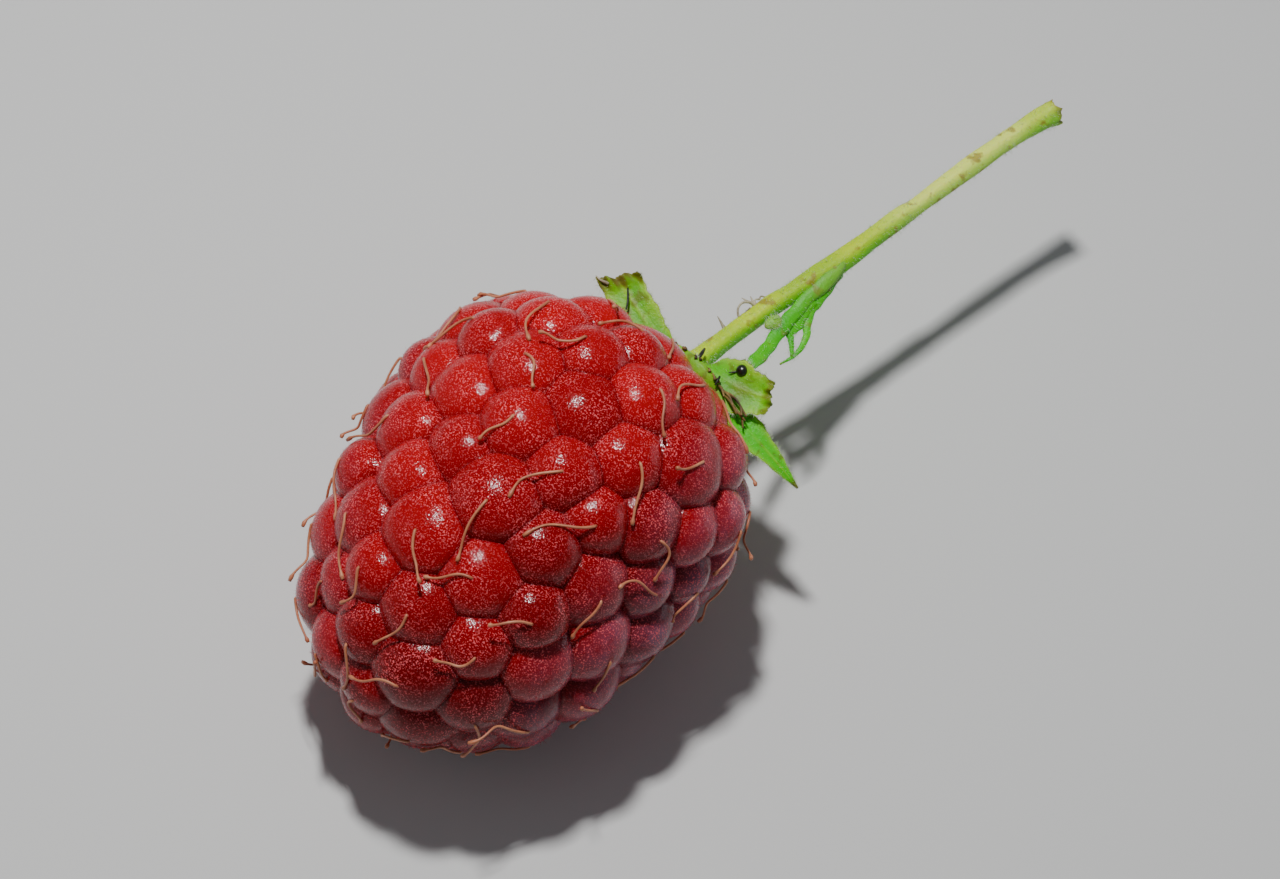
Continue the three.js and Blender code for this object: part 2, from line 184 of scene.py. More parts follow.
def drupelet_balls():
    """Centre, radius and outward normal of each drupelet's ball, whose top is at the envelope."""
    top, t, size = drupelet_tops()
    apart = np.sort(np.linalg.norm(top[:, None] - top[None], axis=2), axis=1)
    near = apart[:, 1 : NEIGHBOURS + 1].mean(1)
    radius = FULLNESS * near / 2 * (1 + 0.5 * (size - 1))
    normal = outward(top, t)
    k = np.arange(DRUPELETS)
    centre = top + (LIFT * spread(k, 7) - radius)[:, None] * normal
    return centre, radius, normal


def common_tangent(c, r, guess):
    """The plane direction that touches three balls on one side: n.(c_j - c_i) = r_i - r_j."""
    p, q = c[1] - c[0], c[2] - c[0]
    across = np.cross(p, q)
    size = across @ across
    down = np.cross(q, across) * (r[0] - r[1]) / size + np.cross(across, p) * (r[0] - r[2]) / size
    left = 1 - down @ down
    if left <= 0:
        return None
    return down + unit(across) * np.sign(across @ guess) * math.sqrt(left)


def rest_pose(centre, radius):
    """Rotation and shift from the fruit's frame to the part's, with three drupelets as feet: the
    common tangent plane nearest the guess that holds the weight inside the three feet."""
    across = math.cos(NOSE_DOWN)
    sideways = [across * math.cos(DOWN_ANGLE), across * math.sin(DOWN_ANGLE)]
    guess = np.array([*sideways, math.sin(NOSE_DOWN)])
    depth = centre @ guess + radius
    low = np.nonzero(depth > depth.max() - REACH)[0]
    best = (-1, None, None)
    for a, i in enumerate(low):
        for b, j in enumerate(low[a + 1 :], a + 1):
            for k in low[b + 1 :]:
                three = [i, j, k]
                down = common_tangent(centre[three], radius[three], guess)
                if down is None or down @ guess < best[0]:
                    continue
                level = centre[i] @ down + radius[i]
                if (centre @ down + radius).max() > level + 1e-6:
                    continue
                feet = centre[three] + radius[three][:, None] * down
                sides = np.stack([feet[1] - feet[0], feet[2] - feet[0], down], 1)
                share = np.linalg.solve(sides, WEIGHT_CENTRE - feet[0])
                if min(share[0], share[1], 1 - share[0] - share[1]) < LEAST_MARGIN:
                    continue
                best = (down @ guess, down, i)
    _, down, foot = best
    up = -down
    back = np.array([0, 0, -1.0])
    back = unit(back - up * (back @ up))
    rotation = np.stack([np.cross(back, up), back, up])
    point = centre[foot] + down * (radius[foot] - FLAT_DEPTH)
    return rotation, -rotation @ point


FRUIT_CENTRES, BALL_RADIUS, FRUIT_NORMALS = drupelet_balls()
TURNED, SHIFT = rest_pose(FRUIT_CENTRES, BALL_RADIUS)
BALL_CENTRE = FRUIT_CENTRES @ TURNED.T + SHIFT
BALL_NORMAL = FRUIT_NORMALS @ TURNED.T
sunk = SINK * (draw(np.arange(DRUPELETS), 14) - SINK_NONE)
BALL_CENTRE -= BALL_NORMAL * (sunk * smooth_step(*SINK_EASE, BALL_CENTRE[:, 2]))[:, None]
BALL_TOP = BALL_CENTRE + BALL_NORMAL * BALL_RADIUS[:, None]
TIPWARD = TURNED @ np.array([0, 0, 1.0])

# The calyx's own frame: z leaves the fruit along the stalk, x lies towards the viewer, and y to
# the photo's lower right.
CALYX_AXES = np.array([
    [1, 0, 0],
    [0, -math.cos(CALYX_TILT), math.sin(CALYX_TILT)],
    [0, -math.sin(CALYX_TILT), -math.cos(CALYX_TILT)],
])
CALYX_BALLS = (FRUIT_CENTRES - CALYX_CENTRE) @ CALYX_AXES.T


def from_calyx(p):
    """Points of the calyx's frame in the part's frame."""
    return (p @ CALYX_AXES + CALYX_CENTRE) @ TURNED.T + SHIFT


def turn_from_calyx(v):
    """Directions of the calyx's frame in the part's frame."""
    return v @ CALYX_AXES @ TURNED.T


# Mesh building

def make_piece(name, points, faces, material, slot, replaced=(), **attributes):
    """A smooth mesh piece from points in millimetres, kept above the floor, with its float
    attributes, and the plain part's node that it stands for, if any. The slot argument is not used."""
    points[:, 2] = np.maximum(points[:, 2], 0)
    mesh = bpy.data.meshes.new(name)
    mesh.from_pydata((points * MM).tolist(), [], [f for part in faces for f in part.tolist()])
    mesh.polygons.foreach_set("use_smooth", np.ones(len(mesh.polygons), bool))
    for label, values in attributes.items():
        made = mesh.attributes.new(label, "FLOAT", "POINT")
        made.data.foreach_set("value", np.asarray(values, np.float32).ravel())
    mesh.materials.append(material)
    mesh.update()
    piece = bpy.data.objects.new(name, mesh)
    bpy.context.scene.collection.objects.link(piece)
    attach(piece, "root")
    if replaced:
        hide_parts(*replaced)


def full_turn(sides):
    """Angles once round, without the last, which is the first again."""
    return np.linspace(0, 2 * np.pi, sides, endpoint=False)


def ring_faces(rings, sides):
    """Quads between rings of points that close on themselves, and a fan to a point at each end.
    Point 0 is the first end, the rings follow, and the last point is the other end."""
    ring = np.arange(rings - 1)[:, None] * sides + 1
    j = np.arange(sides)[None]
    after = (j + 1) % sides
    quads = np.stack([ring + j, ring + after, ring + sides + after, ring + sides + j], -1)
    j, after = j[0], after[0]
    last = 1 + (rings - 1) * sides
    first_fan = np.stack([np.zeros_like(j), 1 + after, 1 + j], 1)
    last_fan = np.stack([np.full_like(j, last + sides), last + j, last + after], 1)
    return quads.reshape(-1, 4), np.concatenate([first_fan, last_fan])


def turned_over(faces):
    """The faces with their corners in the other order."""
    return [f[:, ::-1] for f in faces]


def many(faces, count, step):
    """The faces repeated for a number of like shapes, each with `step` points."""
    start = np.arange(count)[:, None, None] * step
    return [(f[None] + start).reshape(-1, f.shape[1]) for f in faces]


def revolved(r, z, sides, ridge=1.0):
    """A closed surface of revolution: circles of radii r at heights z, each scaled by `ridge`
    round it, with the first and the last drawn in to points on the axis."""
    turn = full_turn(sides)
    r, inner = r[1:-1, None], z[1:-1, None]
    rings = np.stack([r * np.cos(turn) * ridge, r * np.sin(turn) * ridge, inner + 0 * turn], -1)
    points = np.concatenate([[[0, 0, z[0]]], rings.reshape(-1, 3), [[0, 0, z[-1]]]])
    return points, list(ring_faces(len(inner), sides))


def joined(parts):
    """Points and faces of several shapes as one mesh's. Each part is (points, [faces, ...])."""
    points, faces, start = [], [], 0
    for p, fs in parts:
        points.append(p)
        faces.extend(f + start for f in fs)
        start += len(p)
    return np.concatenate(points), faces


def curve_through(stations, count):
    """A Catmull-Rom curve through the rows of `stations`, evaluated at `count` even parameters:
    each stretch is the cubic that meets its ends with half the chord between its neighbours."""
    s = np.asarray(stations, float)
    padded = np.concatenate([[2 * s[0] - s[1]], s, [2 * s[-1] - s[-2]]])
    x = np.linspace(0, len(s) - 1, count)
    i = np.minimum(x.astype(int), len(s) - 2)
    u = (x - i)[:, None]
    a, b, c, d = padded[i], padded[i + 1], padded[i + 2], padded[i + 3]
    square, cube = 2 * a - 5 * b + 4 * c - d, 3 * b - a - 3 * c + d
    return 0.5 * (2 * b + (c - a) * u + square * u**2 + cube * u**3)


def path_frame(path, side):
    """Unit directions at each point of a path: across it towards `side`, and over both."""
    along = unit(np.gradient(path, axis=0))
    across = unit(side - along * (along @ side)[:, None])
    return across, np.cross(along, across)


def tube(path, wide, thick, side, sides, rough=1.0):
    """A closed tube: ellipses of half width `wide` towards `side` and half thickness `thick`
    across it, carried along the path, with a point just inside each end. `rough` scales each
    corner of each ring."""
    across, over = path_frame(path, side)
    turn = full_turn(sides)
    reach_wide = (wide[:, None] * np.cos(turn) * rough)[..., None]
    reach_thick = (thick[:, None] * np.sin(turn) * rough)[..., None]
    rings = path[:, None] + across[:, None] * reach_wide + over[:, None] * reach_thick
    points = np.concatenate([path[:1], rings.reshape(-1, 3), path[-1:]])
    return points, list(ring_faces(len(path), sides))


def tubes(paths, radii, side, sides):
    """Many tubes at once: paths is (tubes, steps, 3), radii (tubes, steps), side (tubes, 3).
    Each is circles of the radii carried along its path, with a point at each end."""
    count, steps, _ = paths.shape
    along = unit(np.gradient(paths, axis=1))
    side = side[:, None]
    across = unit(side - along * (along * side).sum(-1, keepdims=True))[:, :, None]
    over = np.cross(along[:, :, None], across)
    turn = full_turn(sides)[:, None]
    circle = across * np.cos(turn) + over * np.sin(turn)
    rings = paths[:, :, None] + circle * radii[:, :, None, None]
    points = np.concatenate([paths[:, :1], rings.reshape(count, -1, 3), paths[:, -1:]], 1)
    faces = many(ring_faces(steps, sides), count, steps * sides + 2)
    return points.reshape(-1, 3), faces


def hairs(roots, directions, lengths, width, lean):
    """Three-sided needles: a small triangle round each root, and the tip at the root plus the
    length along the direction, bent by `lean`. Each is closed with four faces."""
    tip = roots + (directions + lean) * lengths[:, None]
    helper = np.where(np.abs(directions[:, 2:]) < 0.9, [[0, 0, 1.0]], [[1.0, 0, 0]])
    across = unit(np.cross(directions, helper))
    over = np.cross(directions, across)
    corners = []
    for k in range(3):
        angle = 2 * math.pi * k / 3
        corners.append(roots + (across * math.cos(angle) + over * math.sin(angle)) * width)
    points = np.stack([*corners, tip], 1).reshape(-1, 3)
    needle = np.array([[0, 2, 1], [0, 1, 3], [1, 2, 3], [2, 0, 3]])
    return points, many([needle], len(roots), 4)


# Materials

def new_group(name, inputs, outputs):
    """An empty shader node group with (kind, name, default) inputs and (kind, name) outputs."""
    group = bpy.data.node_groups.new(name, "ShaderNodeTree")
    for kind, label, default in inputs:
        socket = group.interface.new_socket(label, in_out="INPUT", socket_type=kind)
        socket.default_value = default
    for kind, label in outputs:
        group.interface.new_socket(label, in_out="OUTPUT", socket_type=kind)
    return group, group.nodes.new("NodeGroupInput"), group.nodes.new("NodeGroupOutput")


class Graph:
    """A node tree being built. Each method adds one node and returns what it gives. Values that
    go in are other nodes' outputs, plain numbers, or colours as tuples of three."""

    def __init__(self, tree):
        self.nodes, self.links = tree.nodes, tree.links

    def give(self, socket, value):
        """Links another node's output to a socket, or sets the socket's own value."""
        if isinstance(value, bpy.types.NodeSocket):
            self.links.new(value, socket)
        else:
            socket.default_value = (*value, 1) if isinstance(value, tuple) else value

    def place(self):
        """Object coordinates, in metres."""
        return self.nodes.new("ShaderNodeTexCoord").outputs["Object"]

    def field(self, name):
        """The value of one of the piece's own attributes."""
        made = self.nodes.new("ShaderNodeAttribute")
        made.attribute_name = name
        return made.outputs["Fac"]

    def noise(self, place, scale, detail=3.0):
        """A noise texture's value."""
        made = self.nodes.new("ShaderNodeTexNoise")
        for label, value in (("Vector", place), ("Scale", scale), ("Detail", detail)):
            self.give(made.inputs[label], value)
        return made.outputs["Fac"]

    def ranged(self, value, low, high, to_low=0.0, to_high=1.0):
        """A value mapped from low..high to to_low..to_high, clamped."""
        made = self.nodes.new("ShaderNodeMapRange")
        labels = ("Value", "From Min", "From Max", "To Min", "To Max")
        for label, given in zip(labels, (value, low, high, to_low, to_high)):
            self.give(made.inputs[label], given)
        return made.outputs["Result"]

    def mixed(self, factor, first, second):
        """Two colours mixed by a factor."""
        made = self.nodes.new("ShaderNodeMix")
        made.data_type = "RGBA"
        self.give(made.inputs["Factor"], factor)
        colours = [socket for socket in made.inputs if socket.type == "RGBA"]
        for socket, colour in zip(colours, (first, second)):
            self.give(socket, colour)
        return next(socket for socket in made.outputs if socket.type == "RGBA")

    def multiplied(self, first, second):
        """The product of two values."""
        made = self.nodes.new("ShaderNodeMath")
        made.operation = "MULTIPLY"
        self.give(made.inputs[0], first)
        self.give(made.inputs[1], second)
        return made.outputs[0]

    def placed(self, group, **values):
        """A group node's outputs, with its inputs set by name, with _ for a space."""
        made = self.nodes.new("ShaderNodeGroup")
        made.node_tree = group
        for label, value in values.items():
            self.give(made.inputs[label.replace("_", " ")], value)
        return made.outputs

    def bump(self, height, distance, strength):
        """A normal bumped by a height, over a distance in metres."""
        made = self.nodes.new("ShaderNodeBump")
        for label, value in (("Height", height), ("Distance", distance), ("Strength", strength)):
            self.give(made.inputs[label], value)
        return made.outputs["Normal"]


def mottle_group():
    """Uneven plant colour: two noises, one for broad patches and one for fine grain, mix two
    colours; the fine one also gives a height for bump."""
    inputs = [
        ("NodeSocketColor", "Pale", (1, 1, 1, 1)),
        ("NodeSocketColor", "Deep", (0, 0, 0, 1)),
        ("NodeSocketFloat", "Patch Scale", 500.0),
        ("NodeSocketFloat", "Grain Scale", 6000.0),
    ]
    outputs = [("NodeSocketColor", "Color"), ("NodeSocketFloat", "Height")]
    group, given, result = new_group("Mottle", inputs, outputs)
    graph = Graph(group)
    place, pale, deep = graph.place(), given.outputs["Pale"], given.outputs["Deep"]
    patch = graph.noise(place, given.outputs["Patch Scale"])
    grain = graph.noise(place, given.outputs["Grain Scale"], 2.0)
    broad = graph.mixed(graph.ranged(patch, 0.35, 0.65), pale, deep)
    strength = graph.ranged(grain, 0.45, 0.7, 0.0, 0.45)
    graph.give(result.inputs["Color"], graph.mixed(strength, broad, deep))
    graph.give(result.inputs["Height"], grain)
    return group


def glint_speck_group():
    """Pale specks of light caught by down: a fine noise cut off high, thinned by a broader one."""
    inputs = [("NodeSocketFloat", "Scale", 7000.0), ("NodeSocketFloat", "Amount", 0.5)]
    group, given, result = new_group("Specks", inputs, [("NodeSocketFloat", "Mask")])
    graph = Graph(group)
    place = graph.place()
    cut = graph.ranged(graph.noise(place, given.outputs["Scale"], 1.0), 0.55, 0.64)
    broad = graph.ranged(graph.noise(place, 700.0), 0.38, 0.62, 0.3, 1.0)
    mask = graph.multiplied(graph.multiplied(cut, broad), given.outputs["Amount"])
    graph.give(result.inputs["Mask"], mask)
    return group


MOTTLE = mottle_group()
# Painted glints: pale specks of light caught by down.
GLINT_SPECKS = glint_speck_group()

# The two reds between which each drupelet's tone varies: a random tone, plus painted shade that
# dulls the drupelets facing the view's bottom.
DULL_AND_SHADED_RED, BRIGHT_AND_LIT_RED = (0.15, 0.0001, 0.002), (0.43, 0.0002, 0.005)
# Painted shade in the grooves between drupelets, which also colours the core between them.
GROOVE_SHADE_RED = (0.16, 0.0001, 0.001)
# A painted lilac rim sheen, and pale painted glints of light caught by down.
PAINTED_SHEEN_COLOUR, GLINT_COLOUR = (0.30, 0.14, 0.24), (1.0, 0.16, 0.18)
FRESH_GREEN, FADED_GREEN = (0.05, 0.58, 0.0), (0.84, 0.94, 0.17)
DRIED_DARK, DRIED_LIGHT = 0.35, 1.7  # shares of the dry colour that dried ends vary between


def new_material(name, roughness, **sockets):
    """A material's graph and Principled shader; extra settings name its sockets, with _ for a
    space."""
    material = bpy.data.materials.new(name)
    material.use_nodes = True
    shader = material.node_tree.nodes["Principled BSDF"]
    shader.inputs["Roughness"].default_value = roughness
    for label, value in sockets.items():
        shader.inputs[label.replace("_", " ")].default_value = value
    return material, Graph(material.node_tree), shader.inputs


def skin_material():
    """Ripe skin: crimson that differs from drupelet to drupelet, with painted shade that dulls the
    drupelets facing the view's bottom and darkens each dome into the grooves, a painted lilac rim
    sheen, painted glints as pale specks, juice that lets light through, and a fine grain."""
    material, graph, shader = new_material(
        "ripe_skin", 0.2, Subsurface_Weight=0.6, Subsurface_Radius=(1.0, 0.04, 0.03),
        Subsurface_Scale=0.001, Sheen_Weight=0.03, Sheen_Roughness=0.25,
        Sheen_Tint=(0.85, 0.7, 0.9, 1.0), Specular_IOR_Level=0.22,
    )
    # Painted shade: drupelets facing the view's bottom take more of the duller red, on top of a
    # random tone.
    tone = graph.mixed(graph.field("tone"), DULL_AND_SHADED_RED, BRIGHT_AND_LIT_RED)
    # Painted shade: each dome darkens down its sides into the grooves.
    deep = graph.mixed(graph.ranged(graph.field("groove"), 0.5, 0.85), tone, GROOVE_SHADE_RED)
    place = graph.place()
    # Painted sheen: a lilac rim sheen in noisy patches, on the view's lower right and left rims.
    sheen_patches = graph.ranged(graph.noise(place, 700.0), 0.35, 0.65, 0.15, 0.55)
    with_painted_sheen = graph.mixed(graph.multiplied(sheen_patches, graph.field("bloom")), deep, PAINTED_SHEEN_COLOUR)
    # Painted glints: pale specks of light caught by down.
    glints = graph.placed(GLINT_SPECKS, Scale=13000.0, Amount=0.8)["Mask"]
    graph.give(shader["Base Color"], graph.mixed(glints, with_painted_sheen, GLINT_COLOUR))
    grain = graph.noise(place, 7500.0, 2.0)
    graph.give(shader["Roughness"], graph.ranged(grain, 0.3, 0.7, 0.07, 0.18))
    graph.give(shader["Normal"], graph.bump(grain, 0.00003, 0.9))
    return material


def plant_material(name, pale, deep, edge, dry, patch, spotted):
    """Green plant skin: mottled, fresh, faded, of an edge's colour or dried where the piece's
    `fresh`, `faded`, `pale` and `dry` attributes say, with brown spots where a noise is high."""
    material, graph, shader = new_material(
        name, 0.5, Subsurface_Weight=0.3, Subsurface_Radius=(0.6, 1.0, 0.1),
        Subsurface_Scale=0.0006, Specular_IOR_Level=0.35,
    )
    mottle = graph.placed(MOTTLE, Pale=pale, Deep=deep, Patch_Scale=patch, Grain_Scale=5000.0)
    fresh = graph.mixed(graph.field("fresh"), mottle["Color"], FRESH_GREEN)
    faded = graph.mixed(graph.field("faded"), fresh, FADED_GREEN)
    edged = graph.mixed(graph.field("pale"), faded, edge)
    place = graph.place()
    spots = graph.ranged(graph.noise(place, 1500.0, 2.0), 0.59, 0.68, 0.0, spotted)
    browns = [tuple(share * c for c in dry) for share in (DRIED_DARK, DRIED_LIGHT)]
    tan = graph.mixed(graph.noise(place, 2500.0), *browns)
    dried = graph.mixed(graph.field("dry"), graph.mixed(spots, edged, dry), tan)
    graph.give(shader["Base Color"], dried)
    graph.give(shader["Normal"], graph.bump(mottle["Height"], 0.00008, 0.6))
    return material


def thread_material(name, pale, deep, roughness):
    """Thin withered threads: two mottled colours along them."""
    material, graph, shader = new_material(name, roughness)
    mottle = graph.placed(MOTTLE, Pale=pale, Deep=deep, Patch_Scale=900.0, Grain_Scale=8000.0)
    graph.give(shader["Base Color"], mottle["Color"])
    graph.give(shader["Normal"], graph.bump(mottle["Height"], 0.00003, 0.5))
    return material


def bead_material():
    """The dark, glossy bead, a little uneven."""
    material, graph, shader = new_material("dark_bead", 0.3, Coat_Weight=0.5, Coat_Roughness=0.25)
    pale, deep = (0.012, 0.02, 0.008), (0.002, 0.003, 0.002)
    mottle = graph.placed(MOTTLE, Pale=pale, Deep=deep, Patch_Scale=3000.0)
    graph.give(shader["Base Color"], mottle["Color"])
    graph.give(shader["Normal"], graph.bump(mottle["Height"], 0.00001, 0.4))
    return material


# Fruit

DOME_SIDES = 36
DOME_RINGS = 20
DOME_END = math.radians(104)
DOME_HEIGHT = 2.0
ROOT_DEPTH = 3.4
CELL_POWER = 8
CELL_REACH = 6.5
CELL_SIZE_POWER = 2
CELL_OVERLAP = 1.17
CELL_SAMPLES = 72
# How much painted rim sheen the drupelets facing the view's left get.
LEFT_PAINTED_SHEEN = 0.25
FIRST_AXIS = unit(TIPWARD - BALL_NORMAL * (BALL_NORMAL @ TIPWARD)[:, None])
SECOND_AXIS = np.cross(BALL_NORMAL, FIRST_AXIS)


def cell_reach(theta):
    """How far each drupelet's rounded cell reaches at angles theta round its normal: a smooth
    least, by high powers, of the distances to the lines half way to its neighbours."""
    apart = BALL_TOP[None] - BALL_TOP[:, None]
    x = (apart * FIRST_AXIS[:, None]).sum(-1)
    y = (apart * SECOND_AXIS[:, None]).sum(-1)
    flat = np.maximum(np.hypot(x, y), 1e-9)
    size = BALL_RADIUS**CELL_SIZE_POWER
    share = size[:, None] / (size[:, None] + size[None])
    close = (np.linalg.norm(apart, axis=-1) < CELL_REACH) & (flat > 0.5)
    half = np.where(close, flat * share, np.inf)
    facing = np.clip(np.cos(theta[None, None] - np.arctan2(y, x)[..., None]), 0, None)
    total = ((facing / half[..., None]) ** CELL_POWER).sum(1)
    total = total + (1 / (1.05 * BALL_RADIUS[:, None])) ** CELL_POWER
    return total ** (-1 / CELL_POWER) * CELL_OVERLAP


CELLS = cell_reach(np.linspace(0, 2 * np.pi, CELL_SAMPLES + 1))
ROUND = np.exp(np.log(CELLS[:, :-1]).mean(1))


def on_dome(owner, angle, theta):
    """Points of the drupelets' domes at polar `angle` from the top and `theta` round it: a reach
    times the sine across, and a height times the cosine along the normal. The reach is round
    near the top and eases into the cell's outline at the side, with a slight seeded unevenness."""
    place = theta / (2 * np.pi) * CELL_SAMPLES
    low = np.minimum(place.astype(int), CELL_SAMPLES - 1)
    cell = CELLS[owner, low] * (1 - place + low) + CELLS[owner, low + 1] * (place - low)
    reach = ROUND[owner] * (cell / ROUND[owner]) ** (0.5 * smooth_step(0.35, 1.35, angle))
    uneven = np.sin(3 * theta + 6.28 * draw(owner, 11))
    uneven = uneven + 0.7 * np.sin(2 * theta + 5 * angle + 6.28 * draw(owner, 13))
    reach = reach * (1 + 0.02 * uneven) * (1 + 0.05 * np.sin(2 * angle) ** 2)
    height = np.minimum(BALL_RADIUS, DOME_HEIGHT)[owner] * (1 + 0.012 * uneven * np.sin(angle))
    aside, ahead = np.sin(theta)[..., None], np.cos(theta)[..., None]
    across, normal = FIRST_AXIS[owner] * ahead + SECOND_AXIS[owner] * aside, BALL_NORMAL[owner]
    up = (height * (np.cos(angle) - 1))[..., None] * normal
    points = BALL_TOP[owner] + across * (reach * np.sin(angle))[..., None] + up
    steep, level = (np.sin(angle) / reach)[..., None], (np.cos(angle) / height)[..., None]
    return points, unit(across * steep + normal * level)


def bloom_on(facing_out):
    """How much painted rim sheen each point of the domes has: most on the photo's lower right,
    where both the drupelet and its surface face that way, and a little on the left."""
    right, up, _ = photo_axes()
    low_right = 0.85 * right - 0.5 * up
    facing = smooth_step(0.4, 0.9, BALL_NORMAL @ low_right)[:, None]
    bloom = facing * smooth_step(-0.1, 0.9, facing_out @ low_right)
    facing = LEFT_PAINTED_SHEEN * smooth_step(0.5, 0.95, BALL_NORMAL @ -right)[:, None]
    return bloom + facing * smooth_step(0.1, 1.0, facing_out @ -right)


def fruit_piece(material):
    """All drupelets as closed domes rooted in the core, flat where they rest on the floor."""
    angle = np.linspace(0, DOME_END, DOME_RINGS + 1)[1:]
    grid = np.meshgrid(angle, full_turn(DOME_SIDES), indexing="ij")
    angle, theta = [g.ravel() for g in grid]
    k = np.arange(DRUPELETS)
    rings, facing_out = on_dome(*np.broadcast_arrays(k[:, None], angle[None], theta[None]))
    root = BALL_TOP - BALL_NORMAL * ROOT_DEPTH
    domes = np.concatenate([BALL_TOP[:, None], rings, root[:, None]], 1)
    per = domes.shape[1]
    faces = turned_over(many(ring_faces(DOME_RINGS, DOME_SIDES), DRUPELETS, per))
    # Painted groove shade: 0 at each dome's top, 1 at its root in the core.
    groove = np.tile(np.concatenate([[0], angle / DOME_END, [1]]), DRUPELETS)
    # A random tone per drupelet, plus painted shade by how far it faces the view's up.
    tone = np.clip(0.25 + 0.5 * draw(k, 12) + 0.5 * BALL_NORMAL @ photo_axes()[1], 0, 1)
    # Painted rim sheen on the view's lower right and left rims.
    bloom = np.pad(bloom_on(facing_out), ((0, 0), (1, 1))).ravel()
    core, core_faces = core_surface()
    points, faces = joined([(domes.reshape(-1, 3), faces), (core, core_faces)])
    none = np.zeros(len(core))
    make_piece(
        "drupelet_skins", points, faces, material, "fruit_skin", ("drupelets",),
        # The core is all painted groove shade, without painted sheen.
        groove=np.concatenate([groove, none + 1]), bloom=np.concatenate([bloom, none]),
        tone=np.concatenate([np.repeat(tone, per), none]))


def core_surface(rings=24, sides=40):
    """What shows between the domes: the envelope's revolution, drawn in by the core's depth."""
    t = -np.cos(np.linspace(0, np.pi, rings + 2))
    r = np.clip(envelope(t) - CORE_DEPTH * np.sqrt(1 - t * t), 0, None)
    points, faces = revolved(r, t * (LENGTH / 2 - CORE_DEPTH), sides)
    return points @ TURNED.T + SHIFT, faces


DOWN_COUNT = 48000
DOWN_LENGTH = (0.07, 0.17)
DOWN_WIDTH = 0.007
DOWN_END = math.radians(72)
DOWN_LEAN = 0.45
ROOTED = 0.02  # how deep every hair starts under the surface


def down_piece(material):
    """Fine down: needles at drawn places of the domes, evenly over each, leaning by draws."""
    g = np.random.default_rng(7)
    owner = g.integers(0, DRUPELETS, DOWN_COUNT)
    angle = np.arccos(1 - g.random(DOWN_COUNT) * (1 - math.cos(DOWN_END)))
    roots, direction = on_dome(owner, angle, g.random(DOWN_COUNT) * 2 * np.pi)
    lengths = DOWN_LENGTH[0] + (DOWN_LENGTH[1] - DOWN_LENGTH[0]) * g.random(DOWN_COUNT) ** 2
    keep = roots[:, 2] > DOWN_LENGTH[1] + 0.05
    lean = DOWN_LEAN * g.normal(size=(DOWN_COUNT, 3))
    kept = [values[keep] for values in (roots - direction * ROOTED, direction, lengths, lean)]
    points, faces = hairs(*kept[:3], DOWN_WIDTH, kept[3])
    make_piece("fruit_down", points, faces, material, "fruit_skin")


STYLE_SHARE = 0.86
STYLE_LENGTH = 2.5
STYLE_RADIUS = 0.07
STYLE_STEPS, STYLE_SIDES = 19, 7
STYLE_LOWEST = 2.5


def clear_of_fruit(points, gap):
    """Points pushed out of every ball that they are in, a few times over, to its radius plus
    a gap."""
    row = np.arange(points[..., 0].size)
    moved = points.reshape(-1, 3)
    for _ in range(4):
        away = moved[:, None] - BALL_CENTRE[None]
        deep = BALL_RADIUS[None] + gap - np.linalg.norm(away, axis=-1)
        worst = deep.argmax(1)
        push = np.clip(deep[row, worst], 0, None)
        moved = moved + unit(away[row, worst]) * push[:, None]
    return moved.reshape(points.shape)


def styles_piece(material):
    """Withered styles: each starts near a drupelet's top and lies over the next groove towards
    the tip, turned by a draw, bridging the grooves in a smooth arch, with a small knob at its
    end."""
    k = np.arange(DRUPELETS)
    chosen = k[(draw(k, 50) < STYLE_SHARE) & (BALL_TOP[:, 2] > STYLE_LOWEST)]
    normal = BALL_NORMAL[chosen]
    heading = 1.15 * spread(chosen, 51)[:, None]
    ahead = FIRST_AXIS[chosen] * np.cos(heading) + SECOND_AXIS[chosen] * np.sin(heading)
    aside = np.cross(normal, ahead)
    length = STYLE_LENGTH * (1 + 0.25 * spread(chosen, 52))[:, None]
    u = np.linspace(0, 1, STYLE_STEPS)
    bow = 0.5 * spread(chosen, 53)[:, None] * np.sin(np.pi * u)
    bow = bow + 0.22 * spread(chosen, 56)[:, None] * np.sin(2 * np.pi * u)
    start = BALL_TOP[chosen] + ahead * (0.5 * draw(chosen, 54))[:, None]
    path = start[:, None] + ahead[:, None] * (length * u)[..., None]
    path = path + aside[:, None] * bow[..., None]
    path = path - normal[:, None] * (0.12 * length**2 * u**2)[..., None]
    path = clear_of_fruit(path, 0.03)
    for _ in range(6):
        path[:, 1:-1] = 0.5 * path[:, 1:-1] + 0.25 * (path[:, :-2] + path[:, 2:])
    rise = np.clip(spread(chosen, 55), 0, 1)[:, None] * 0.8
    path = path + normal[:, None] * (rise * smooth_step(0.55, 1.0, u))[..., None]
    path = clear_of_fruit(path, STYLE_RADIUS * 0.4)
    path[:, 0] -= normal * 0.12
    path[..., 2] = np.maximum(path[..., 2], 0.25)
    knob = 1 + 0.9 * np.exp(-(((u - 0.96) / 0.045) ** 2)) - 0.25 * u
    radii = np.broadcast_to(STYLE_RADIUS * knob, path.shape[:2])
    points, faces = tubes(path, radii, normal + 0.01, STYLE_SIDES)
    make_piece("styles", points, faces, material, "fruit_skin")


# Calyx

